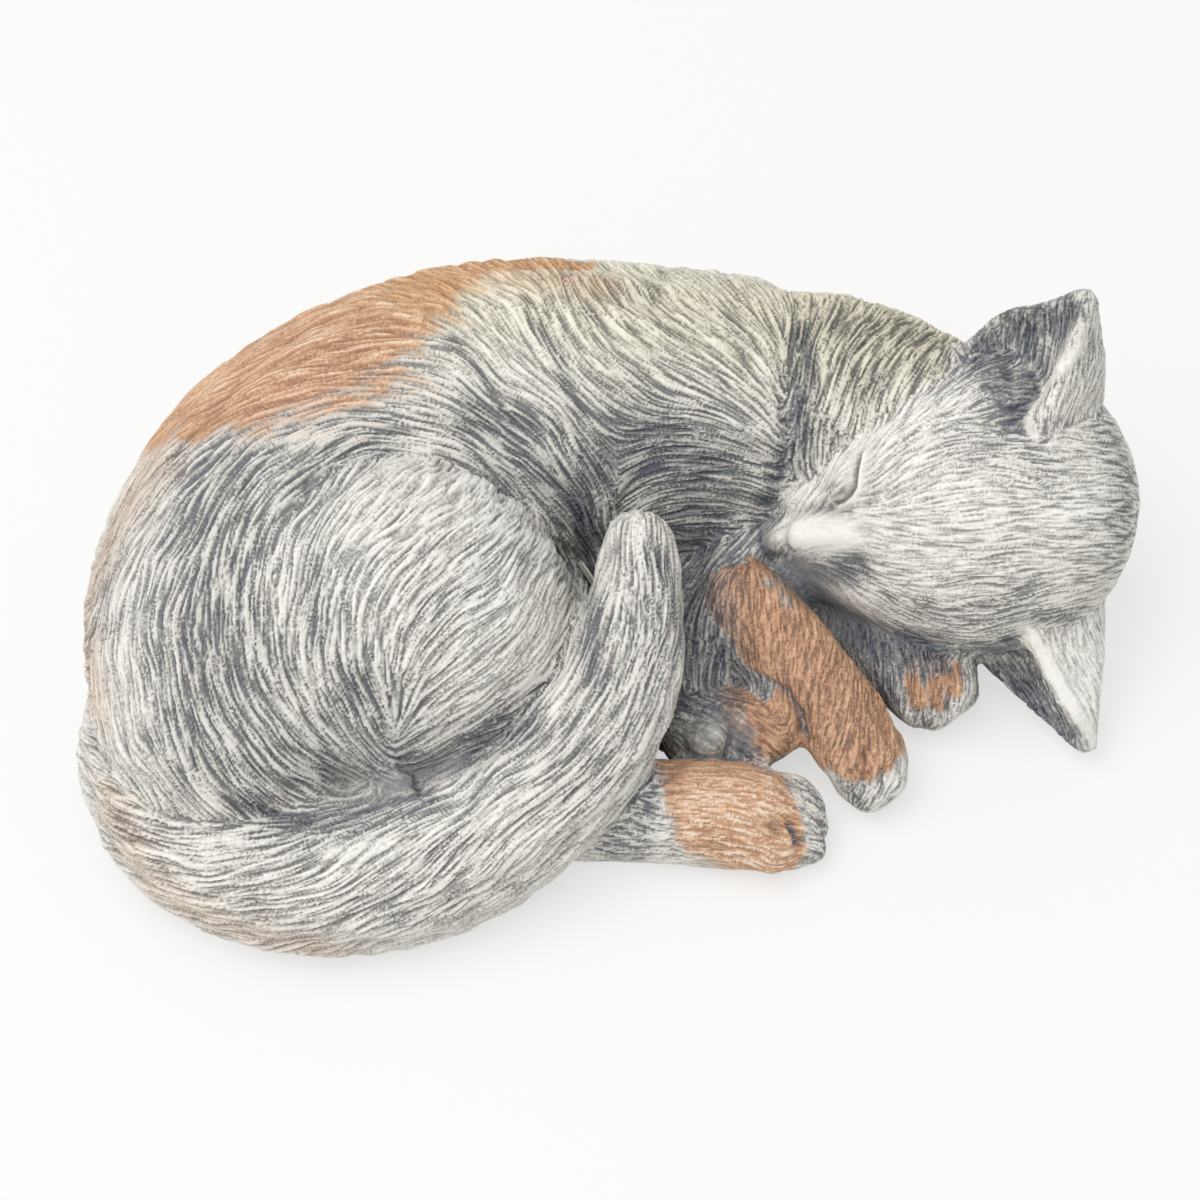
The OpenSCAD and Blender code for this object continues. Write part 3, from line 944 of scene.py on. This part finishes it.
# The fine skin: two subdivisions, carrying what is known at each point
def refineSkin():
    writePoints(coarse, skinPoints * mm)
    addAttribute(coarse, "flow", flow, "FLOAT_VECTOR")
    lean = unit(blurred(skinNormals, links, skinSettings["leanRounds"]))
    addAttribute(coarse, "lean", lean, "FLOAT_VECTOR")
    addAttribute(coarse, "hollow", hollow)
    for number, name in enumerate(nodeNames):
        addAttribute(coarse, f"own {name}", ownerOf == number)
    addAttribute(coarse, "piece", facePiece, "INT", "FACE")
    halve = skin.modifiers.new("halve", "SUBSURF")
    halve.levels = halve.render_levels = 2
    halve.use_limit_surface = False
    applyModifiers(skin)
    return skin.data


fine = refineSkin()
points = readPoints(fine) / mm
normals = readNormals(fine)
flow = unit(readAttribute(fine, "flow", 3))
hollow = readAttribute(fine, "hollow")
facePiece = readAttribute(fine, "piece").astype(int)
square = meshLinks(fine)[0].reshape(-1, 4)
mass = np.zeros(len(points), int)
mass[square] = nodeNumber[facePiece][:, None]
ownEdge = (0.3, 0.7)     # share of a mass in a point over which its own paint fades in
own = {n: smoothStep(*ownEdge, readAttribute(fine, f"own {n}")) for n in nodeNames}
report(f"fine skin: {len(points)} points")


# Noise without interpolation for the strokes, which are averaged along the fur anyway
grainSeed = 5
grainCount = 1 << 16
grainStart = 4096        # grains, so that no index is negative
grainScatter = (73856093, 19349663, 83492791)  # large primes that spread the places over the table
grainTable = np.random.default_rng(grainSeed).standard_normal(grainCount).astype(np.float32)


def readGrain(spacing, p):
    i = (p / spacing + grainStart).astype(np.int32)
    a, b, c = grainScatter
    return grainTable[(i[:, 0] * a ^ i[:, 1] * b ^ i[:, 2] * c) & (grainCount - 1)]


# Smooth noise held in a block of random numbers round the cat, read between its grid points
def noiseBlock(seed, spacing, margin=20.0):
    low = points.min(0) - margin
    shape = np.ceil((points.max(0) + margin - low) / spacing).astype(int) + 2
    values = np.random.default_rng(seed).standard_normal(shape).astype(np.float32)
    return low, spacing, values


def readNoise(block, p):
    low, spacing, values = block
    q = ((p - low) / spacing).astype(np.float32)
    q = np.clip(q, 0, np.array(values.shape, np.float32) - 1.001)
    i = q.astype(np.int32)
    f = q - i
    f = f * f * (3 - 2 * f)
    sy, sz = values.shape[1] * values.shape[2], values.shape[2]
    base = i[:, 0] * sy + i[:, 1] * sz + i[:, 2]
    flat = values.ravel()
    total = 0
    for dx in (0, 1):
        wx = f[:, 0] if dx else 1 - f[:, 0]
        for dy in (0, 1):
            wy = f[:, 1] if dy else 1 - f[:, 1]
            for dz in (0, 1):
                wz = f[:, 2] if dz else 1 - f[:, 2]
                total = total + wx * wy * wz * flat[base + dx * sy + dy * sz + dz]
    return total


# Carved strokes: noise drawn out along the lay of the fur
fur = {
    "strand": 0.52,          # grain across the strokes; the grooves come out about three times this apart
    "lock": 3.2,             # grain of the locks that bundle the strokes
    "stroke": 6.5,           # half the length of a stroke
    "step": 0.7,             # in grains
    "lockEvery": 4,          # steps between two readings of the locks
    "cell": 2.5,             # of the grid that finds the lay at a place, and the room left round the cat
    "margin": 30.0,
    "sway": 0.17,            # wander of the lay, radians
    "swayScale": 11.0,
    "swaySeed": 3,
    "lockSeed": 8,
    "ridge": (-1.5, 0.5),    # drawn noise from the groove to the crest of a stroke, and the same of a lock
    "locks": (-1.6, 1.6),
    "level": 0.7,            # the skin runs through a stroke at this share of its height
    "lockHeight": 0.7,
    "ground": (0.5, 4.0),    # heights between which the plain cast edge turns to fur
    "crease": (1.0, 3.5),    # depths of hollow over which the tool reaches in less
    "creaseLoss": 0.7,
}


def turned(way, axis, angle):
    return way * np.cos(angle)[:, None] + np.cross(axis, way) * np.sin(angle)[:, None]


def carveStrokes():
    sway = readNoise(noiseBlock(fur["swaySeed"], fur["swayScale"]), points) * fur["sway"]
    lay = turned(flow, normals, sway)
    lockNoise = noiseBlock(fur["lockSeed"], fur["lock"])
    low = points.min(0) - fur["margin"]
    shape = np.ceil((points.max(0) + fur["margin"] - low) / fur["cell"]).astype(int)
    strand, lock = np.zeros(len(points), np.float32), np.zeros(len(points), np.float32)
    for number, name in enumerate(nodeNames):
        grain = pieces[name].get("strand", fur["strand"])
        step = fur["step"] * grain
        steps = int(pieces[name].get("stroke", fur["stroke"]) / step)
        mine = np.flatnonzero(mass == number)
        cells = np.full(shape, -1, np.int32)
        spot = ((points[mine] - low) / fur["cell"]).astype(int)
        cells[spot[:, 0], spot[:, 1], spot[:, 2]] = mine
        drawn, bundled = readGrain(grain, points[mine]), readNoise(lockNoise, points[mine])
        for sign in (1, -1):
            place, way = points[mine].copy(), lay[mine] * sign
            for k in range(1, steps + 1):
                place = place + way * step
                spot = np.clip(((place - low) / fur["cell"]).astype(int), 0, shape - 1)
                found = cells[spot[:, 0], spot[:, 1], spot[:, 2]]
                turn = np.where((found >= 0)[:, None], lay[found], way)
                way = turn * np.where((turn * way).sum(1) < 0, -1, 1)[:, None]
                weight = 0.5 + 0.5 * math.cos(math.pi * k / (steps + 1))
                drawn = drawn + weight * readGrain(grain, place)
                if k % fur["lockEvery"] == 0:
                    bundled = bundled + weight * readNoise(lockNoise, place)
        strand[mine] = (drawn - drawn.mean()) / drawn.std()
        lock[mine] = (bundled - bundled.mean()) / bundled.std()
    return strand, lock


strand, lock = carveStrokes()
report("fur strokes drawn")


# Marks of the modelling tool, then the fur, raised and cut into the skin
for spare in ["flow", "hollow", "piece"] + [f"own {n}" for n in nodeNames]:
    fine.attributes.remove(fine.attributes[spare])


def strokes(kind, everywhere=False):       # the strongest of the strokes of one kind at each point
    total = np.zeros(len(points))
    for name, settings in pieces.items():
        mine = 1.0 if everywhere else own[name]
        for path, radius, strength in settings.get(kind, []):
            total = np.maximum(total, mine * strength * nearPath(points, path3d(path, skinTree), radius))
    return total


def raiseFur():
    raised = points.copy()
    for settings in pieces.values():
        for path, radius, height in settings.get("carve", []):
            raised += normals * (height * nearPath(points, path3d(path, skinTree), radius))[:, None]
    depth = np.array([pieces[n]["furDepth"] for n in nodeNames])[mass]
    depth *= 1 - np.minimum(strokes("smooth", True), 1)
    depth *= smoothStep(*fur["ground"], points[:, 2])
    depth *= 1 - fur["creaseLoss"] * smoothStep(*fur["crease"], hollow)
    ridge = smoothStep(*fur["ridge"], strand)
    locks = smoothStep(*fur["locks"], lock)
    height = depth * (ridge - fur["level"]) + fur["lockHeight"] * depth * (locks - 0.5)
    raised += normals * height[:, None]
    raised[:, 2] = np.maximum(raised[:, 2], 0)
    return raised


writePoints(fine, raiseFur() * mm)
report("fur carved")

# Paint: a slate wash left in the hollows, off-white dry-brushed over the ridges, ginger on some patches,
# painted shade in some gaps and creases, painted highlights on a few spots
paint = {
    "wash": (0.6, 3.2),      # depths of hollow over which the wash comes to hold, in millimetres
    "washMost": 1.15,
    "lockShare": 0.3,        # weight of the locks in the dry brush, beside the single strokes
    "evenRounds": 16,        # rounds that find the slow drift of the strokes, and the share taken out
    "evenShare": 0.8,
    "contrast": 1.8,         # between groove and ridge
    "smoothTone": 0.6,       # of the brush where the casting is smooth, and how far it is taken there
    "smoothShare": 0.8,
    "groove": 0.41,          # tone of the grooves on open fur; below it lies the wash
    "washDrop": 0.37,        # how far a full wash lowers the tone, and what it takes off the ridges besides
    "washHide": 0.10,
    "brightRise": 0.16,
    "gingerEdge": 0.30,      # how far the strokes break up the edge of a ginger patch
    "gingerFray": (-2, 2),
    "gingerFade": (0.2, 0.5),
    "gingerUnder": (0.45, 1.0),  # strengths of wash over which it covers the ginger
    "gingerLoss": 0.75,
}


def evened(values):                # the brush wears evenly, so no broad patch of strokes is left dark
    even = values - paint["evenShare"] * blurred(values, neighbourTable(fine), paint["evenRounds"])
    return even / even.std()


def layPaint():
    # the slate strokes bring painted shade in gaps, creases and under overhangs into the wash, besides the
    # real slate paint
    wash = np.maximum(smoothStep(*paint["wash"], hollow), strokes("slateAndShade", True))
    wash = np.clip(wash, 0, paint["washMost"])
    share = paint["lockShare"]
    mixed = (evened(strand) + share * lock) / math.hypot(1, share)
    brush = 1 / (1 + np.exp(-paint["contrast"] * mixed))
    smooth = paint["smoothShare"] * np.minimum(strokes("smooth", True), 1)
    brush += smooth * (paint["smoothTone"] - brush)
    # the bright strokes raise the dry brush, a few of them painted highlights
    dry = paint["groove"] + (1 - paint["groove"]) * brush + paint["brightRise"] * strokes("bright")
    dry = np.minimum(dry, 1) - wash * (paint["washDrop"] + paint["washHide"] * brush)
    fray = paint["gingerEdge"] * (smoothStep(*paint["gingerFray"], strand + lock) - 0.5)
    patch = strokes("ginger") - strokes("bare") + fray
    ginger = np.maximum(smoothStep(*paint["gingerFade"], patch), strokes("tint"))
    ginger *= 1 - paint["gingerLoss"] * smoothStep(*paint["gingerUnder"], wash)
    return np.clip(dry, 0, 1), ginger, np.minimum(strokes("moss"), 1)


for name, values in zip(("dry", "ginger", "moss"), layPaint()):
    addAttribute(fine, name, values)
addAttribute(fine, "round", readNormals(fine), "FLOAT_VECTOR")     # keeps the shading whole across the cuts
report("paint laid")


# Materials
def linear(code):                  # an sRGB hex colour as linear red, green, blue and alpha
    parts = [int(code[i:i + 2], 16) / 255 for i in (1, 3, 5)]
    return [c / 12.92 if c <= 0.04045 else ((c + 0.055) / 1.055) ** 2.4 for c in parts] + [1.0]


def newMaterial(name):
    material = bpy.data.materials.new(name)
    material.use_nodes = True
    material.node_tree.nodes.clear()
    return material, material.node_tree


def addNode(tree, kind, inputs, **settings):
    node = tree.nodes.new("ShaderNode" + kind)
    for name, value in settings.items():
        setattr(node, name, value)
    for name, value in inputs.items():
        if isinstance(value, bpy.types.NodeSocket):
            tree.links.new(value, node.inputs[name])
        else:
            node.inputs[name].default_value = value
    return node


paintedCoat = {
    "name": "dryBrushedConcrete",
    "coat": {0.0: "#35383F", 0.15: "#585C66", 0.3: "#777A80", 0.45: "#929291", 0.52: "#ABAAA7",
             0.62: "#C8C6C2", 0.72: "#DBD9D4", 0.83: "#E8E7E2", 0.94: "#F2F1EC", 1.0: "#F9F8F4"},
    "ginger": {0.0: "#4A3E3A", 0.3: "#847064", 0.45: "#A27F6A", 0.52: "#B28B72", 0.62: "#C0967A",
               0.72: "#CBA384", 0.83: "#D8B395", 0.94: "#E4C5AB", 1.0: "#F0DDCD"},
    "moss": "#FFFCEC",       # faint green cast of the weathered back
    "grain": 0.7,            # sand grain of the concrete in millimetres
    "grainDepth": 0.10,
    "speckle": 0.06,         # how far the grain breaks up the dry brush
    "blotch": 22.0,
    "wornFrom": "#F4F2EE",   # broad faint patches of weathering
    "wornTo": "#FFFFFF",
    "roughness": 0.93,
}
gingerPaint = dict(paintedCoat, name="gingerBrushedConcrete", speckle=0.11)
slateWash = dict(paintedCoat, name="slateWashedConcrete", speckle=0.10)


def perMetre(size):                # scale of a pattern whose features have this size in millimetres
    return 1000 / size / 2


def paintMaterial(look):           # matt paint over cast concrete: chalky, no gloss, sand showing through
    material, tree = newMaterial(look["name"])
    place = addNode(tree, "TexCoord", {}).outputs["Object"]
    dry, ginger, moss = [addNode(tree, "Attribute", {}, attribute_name=name).outputs["Fac"]
                         for name in ("dry", "ginger", "moss")]
    grain = addNode(tree, "TexNoise", {"Vector": place, "Scale": perMetre(look["grain"]), "Detail": 3.0,
                                       "Roughness": 0.6}).outputs["Fac"]
    blotch = addNode(tree, "TexNoise", {"Vector": place, "Scale": perMetre(look["blotch"]),
                                        "Detail": 2.0}).outputs["Fac"]
    spread = addNode(tree, "MapRange", {"Value": grain, "From Min": 0.3, "From Max": 0.7,
                                        "To Min": -look["speckle"], "To Max": look["speckle"]},
                     clamp=False).outputs["Result"]
    brushed = addNode(tree, "Math", {0: dry, 1: spread}, operation="ADD", use_clamp=True).outputs[0]
    colours = []
    for key in ("coat", "ginger"):
        ramp = addNode(tree, "ValToRGB", {"Fac": brushed})
        stops = ramp.color_ramp.elements
        while len(stops) < len(look[key]):
            stops.new(0.5)
        for stop, (where, code) in zip(stops, sorted(look[key].items())):
            stop.position = where
            stop.color = linear(code)
        colours.append(ramp.outputs["Color"])
    coat = addNode(tree, "MixRGB", {"Fac": ginger, "Color1": colours[0], "Color2": colours[1]})
    green = addNode(tree, "MixRGB", {"Fac": moss, "Color1": coat.outputs["Color"],
                                     "Color2": linear(look["moss"])}, blend_type="MULTIPLY")
    worn = addNode(tree, "ValToRGB", {"Fac": blotch})
    worn.color_ramp.elements[0].color = linear(look["wornFrom"])
    worn.color_ramp.elements[1].color = linear(look["wornTo"])
    aged = addNode(tree, "MixRGB", {"Fac": 1.0, "Color1": green.outputs["Color"],
                                    "Color2": worn.outputs["Color"]}, blend_type="MULTIPLY")
    bump = addNode(tree, "Bump", {"Height": grain, "Distance": look["grainDepth"] * mm, "Strength": 1.0})
    shader = addNode(tree, "BsdfPrincipled", {"Base Color": aged.outputs["Color"], "IOR": 1.45,
                                              "Roughness": look["roughness"], "Specular IOR Level": 0.2,
                                              "Normal": bump.outputs["Normal"]})
    addNode(tree, "OutputMaterial", {"Surface": shader.outputs["BSDF"]})
    return material


bareConcrete = {
    "name": "trowelledConcrete",
    "light": "#A9A69D",
    "dark": "#85837C",
    "stone": 2.4,            # sand and fine gravel that the trowel leaves showing, in millimetres
    "pit": 5.0,              # air holes
    "pitDepth": 0.5,
    "roughness": 0.95,
}


def concreteMaterial(look):        # the open side of the mould, struck off flat: cement, sand, air holes
    material, tree = newMaterial(look["name"])
    place = addNode(tree, "TexCoord", {}).outputs["Object"]
    sand = addNode(tree, "TexNoise", {"Vector": place, "Scale": perMetre(look["stone"]), "Detail": 5.0,
                                      "Roughness": 0.65}).outputs["Fac"]
    pits = addNode(tree, "TexVoronoi", {"Vector": place, "Scale": perMetre(look["pit"]),
                                        "Randomness": 1.0}).outputs["Distance"]
    hole = addNode(tree, "MapRange", {"Value": pits, "From Min": 0.1, "From Max": 0.28}).outputs["Result"]
    tone = addNode(tree, "MapRange", {"Value": sand, "From Min": 0.3, "From Max": 0.7}).outputs["Result"]
    shade = addNode(tree, "Math", {0: tone, 1: hole}, operation="MULTIPLY").outputs[0]
    colour = addNode(tree, "MixRGB", {"Fac": shade, "Color1": linear(look["dark"]),
                                      "Color2": linear(look["light"])}).outputs["Color"]
    bump = addNode(tree, "Bump", {"Height": shade, "Distance": look["pitDepth"] * mm}).outputs["Normal"]
    shader = addNode(tree, "BsdfPrincipled", {"Base Color": colour, "Roughness": look["roughness"],
                                              "Normal": bump})
    addNode(tree, "OutputMaterial", {"Surface": shader.outputs["BSDF"]})
    return material


finishes = {
    "painted_coat": paintMaterial(paintedCoat),
    "ginger_paint": paintMaterial(gingerPaint),
    "slate_wash": paintMaterial(slateWash),
}
underside = concreteMaterial(bareConcrete)
report("materials mixed")


# The skin comes apart at the cuts, and each piece is closed by walls that run in to the middle of its mass
def separateSkin():
    fine.materials.clear()
    for name in pieceNames:
        fine.materials.append(bpy.data.materials.new(name))
    fine.polygons.foreach_set("material_index", facePiece.astype(np.int32))
    bpy.ops.object.select_all(action="DESELECT")
    skin.select_set(True)
    bpy.context.view_layer.objects.active = skin
    bpy.ops.object.mode_set(mode="EDIT")
    bpy.ops.mesh.select_all(action="SELECT")
    bpy.ops.mesh.separate(type="MATERIAL")
    bpy.ops.object.mode_set(mode="OBJECT")
    parts = bpy.context.selected_objects
    return {o.data.materials[o.data.polygons[0].material_index].name: o for o in parts}


def ringOrder(start):              # the open edges from one corner, walked once round
    ring, last, here = [start], None, start
    while True:
        onward = [e.other_vert(here) for e in here.link_edges if e.is_boundary]
        onward = [v for v in onward if v is not last]
        last, here = here, onward[0]
        if here is start:
            return ring
        ring.append(here)


wallSink = 3.5           # how far the walls go straight down, so that none shows in a crease
coreStep = 0.4           # each ring of walls has its own middle, a little above the last
groundSkin = 0.01        # faces lower than this are the underside


def closePiece(piece, core):
    solid = bmesh.new()
    solid.from_mesh(piece.data)
    for f in solid.faces:
        f.smooth = True
    lean = solid.verts.layers.float_vector["lean"]
    for sink in (wallSink, 0.0):               # straight down under the skin first, then to the core
        rim = [e for e in solid.edges if e.is_boundary]
        grown = bmesh.ops.extrude_edge_only(solid, edges=rim)["geom"]
        inner = [v for v in grown if isinstance(v, bmesh.types.BMVert)]
        for v in inner:
            v.co -= v[lean].normalized() * sink * mm
        for f in grown:
            if isinstance(f, bmesh.types.BMFace):
                f.smooth = False
    core = np.array(core, float)
    done, rings = set(), 0
    for start in inner:
        if start in done:
            continue
        ring = ringOrder(start)
        place = np.array([v.co for v in ring]) / mm
        nearest = ((place[:, None] - core[None]) ** 2).sum(2).argmin(1)
        low = nearest.argmin()
        tour = np.append(np.roll(nearest, -low), nearest[low])
        far = tour.argmax()
        out = np.maximum.accumulate(tour[:far + 1])        # out along the core, and back the same way
        back = np.maximum.accumulate(tour[far:][::-1])[::-1]
        stops = np.intersect1d(out, back)
        tour = np.concatenate([out, back[1:-1]])
        tour = stops[np.searchsorted(stops, tour, side="right") - 1]
        for v, stop in zip(ring, np.roll(tour, low)):
            v.co = (core[stop] + (0, 0, coreStep * rings)) * mm
        done.update(ring)
        rings += 1
    bmesh.ops.remove_doubles(solid, verts=inner, dist=0.1 * coreStep * mm)
    ground = [f for f in solid.faces if all(v.co.z < groundSkin * mm for v in f.verts)]
    bmesh.ops.delete(solid, geom=ground, context="FACES")
    bmesh.ops.holes_fill(solid, edges=[e for e in solid.edges if e.is_boundary], sides=0)
    loose = sum(not e.is_manifold for e in solid.edges)
    solid.to_mesh(piece.data)
    solid.free()
    return rings, loose


# Bake map: the faces are laid flat from the six sides, each patch by itself, and packed in rows
patchGap = 2.0           # millimetres between two patches
wallScale = 0.2          # hidden walls take less room
rowSpare = 1.1           # how much wider the rows are than a square would need


def unfold(mesh):
    corner, face, pairs, _ = meshLinks(mesh)
    place = readPoints(mesh)[corner] / mm
    wall = ~pull(mesh.polygons, "use_smooth", 1, bool)
    facing = np.zeros((len(wall), 3))
    np.add.at(facing, face, readAttribute(mesh, "lean", 3)[corner])
    facing[wall] = pull(mesh.polygons, "normal", 3)[wall]
    axis = np.abs(facing).argmax(1)
    side = axis * 2 + (facing[np.arange(len(axis)), axis] > 0) + 6 * wall
    same = side[pairs[:, 0]] == side[pairs[:, 1]]
    patch = np.unique(islandsOf(pairs[same], len(wall)), return_inverse=True)[1][face]
    turn = np.arange(len(corner))
    spot = np.stack([place[turn, (axis[face] + 1) % 3], place[turn, (axis[face] + 2) % 3]], 1)
    spot *= np.where(wall[face], wallScale, 1.0)[:, None]
    low = np.full((patch.max() + 1, 2), 1e9)
    high = -low
    np.minimum.at(low, patch, spot)
    np.maximum.at(high, patch, spot)
    size = high - low + patchGap
    width = rowSpare * math.sqrt((size[:, 0] * size[:, 1]).sum())
    shift = np.zeros_like(low)
    x = y = row = 0.0
    for k in np.argsort(-size[:, 1]):
        if x and x + size[k, 0] > width:
            x, y, row = 0.0, y + row, 0.0
        shift[k] = (x, y)
        x += size[k, 0]
        row = max(row, size[k, 1])
    spot = (spot - low[patch] + shift[patch] + patchGap / 2) / max(width, size[:, 0].max(), y + row)
    layer = mesh.uv_layers.new(name="OFBake")
    layer.data.foreach_set("uv", spot.astype(np.float32).ravel())


def finishPiece(name, piece):
    node = nodeOfPiece[name]
    settings = pieces[node]
    piece.name = piece.data.name = f"carved_{name}"
    rings, loose = closePiece(piece, settings["core"])
    mesh = piece.data
    mesh.materials.clear()
    mesh.materials.append(finishes[settings["slot"]])
    mesh.materials.append(underside)
    corner, face, _, _ = meshLinks(mesh)
    top = np.zeros(len(mesh.polygons))
    np.maximum.at(top, face, readPoints(mesh)[corner, 2])
    mesh.polygons.foreach_set("material_index", (top < groundSkin * mm).astype(np.int32))
    unfold(mesh)
    mesh.normals_split_custom_set_from_vertices(readAttribute(mesh, "round", 3))
    for spare in ("lean", "round"):
        mesh.attributes.remove(mesh.attributes[spare])
    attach(piece, "root")
    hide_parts(node)
    triangles = sum(len(f.vertices) - 2 for f in mesh.polygons)
    print(f"  {piece.name}: {triangles} triangles, {rings} rings, {loose} loose edges")


for name, piece in separateSkin().items():
    finishPiece(name, piece)
report("pieces closed")

# Studio: a pale floor, an even white sky and one large soft lamp above the rump
studio = {
    "floorSize": 30.0,
    "fade": (0.6, 2.5),      # the floor turns white between these distances, metres
    "glow": 0.6,             # share of white in the floor near the cat, as the camera sees it
    "floor": "#EDECE9",
    "sky": 0.68,
    "lampPower": 15.5,
    "lampSize": 1.4,
    "lampAt": (-0.55, -0.25, 1.5),
    "lampAim": (0.0, 0.0, 0.03),
}


def layFloor():
    plan = bmesh.new()
    bmesh.ops.create_grid(plan, x_segments=2, y_segments=2, size=studio["floorSize"] / 2)
    mesh = bpy.data.meshes.new("floor")
    plan.to_mesh(mesh)
    plan.free()
    floor = bpy.data.objects.new("floor", mesh)
    bpy.context.scene.collection.objects.link(floor)
    material, tree = newMaterial("paleFloor")
    matt = addNode(tree, "BsdfDiffuse", {"Color": linear(studio["floor"])}).outputs["BSDF"]
    glow = addNode(tree, "Emission", {"Color": (1, 1, 1, 1), "Strength": 1.0}).outputs["Emission"]
    seen = addNode(tree, "LightPath", {}).outputs["Is Camera Ray"]
    place = addNode(tree, "TexCoord", {}).outputs["Object"]
    away = addNode(tree, "VectorMath", {0: place}, operation="LENGTH").outputs["Value"]
    near, far = studio["fade"]
    fade = addNode(tree, "MapRange", {"Value": away, "From Min": near, "From Max": far,
                                      "To Min": studio["glow"], "To Max": 1.0}).outputs["Result"]
    share = addNode(tree, "Math", {0: seen, 1: fade}, operation="MULTIPLY").outputs[0]
    both = addNode(tree, "MixShader", {0: share, 1: matt, 2: glow}).outputs["Shader"]
    addNode(tree, "OutputMaterial", {"Surface": both})
    mesh.materials.append(material)


def lightStudio():
    world = bpy.data.worlds.new("studioSky")
    bpy.context.scene.world = world
    world.use_nodes = True
    tree = world.node_tree
    tree.nodes.clear()
    ray = addNode(tree, "LightPath", {}).outputs
    seen = ray["Is Camera Ray"]
    for kind in ("Is Glossy Ray", "Is Transmission Ray"):
        seen = addNode(tree, "Math", {0: seen, 1: ray[kind]}, operation="MAXIMUM").outputs[0]
    level = addNode(tree, "MapRange", {"Value": seen, "To Min": studio["sky"], "To Max": 1.0})
    sky = addNode(tree, "Background", {"Color": (1, 1, 1, 1), "Strength": level.outputs["Result"]})
    addNode(tree, "OutputWorld", {"Surface": sky.outputs["Background"]})
    data = bpy.data.lights.new("softLamp", "AREA")
    data.size = studio["lampSize"]
    data.energy = studio["lampPower"]
    lamp = bpy.data.objects.new("softLamp", data)
    bpy.context.scene.collection.objects.link(lamp)
    lamp.location = studio["lampAt"]
    toward = Vector(studio["lampAim"]) - Vector(studio["lampAt"])
    lamp.rotation_euler = toward.to_track_quat("-Z", "Y").to_euler()
    bpy.context.scene.view_settings.view_transform = "Standard"


layFloor()
lightStudio()
report("floor and light set")
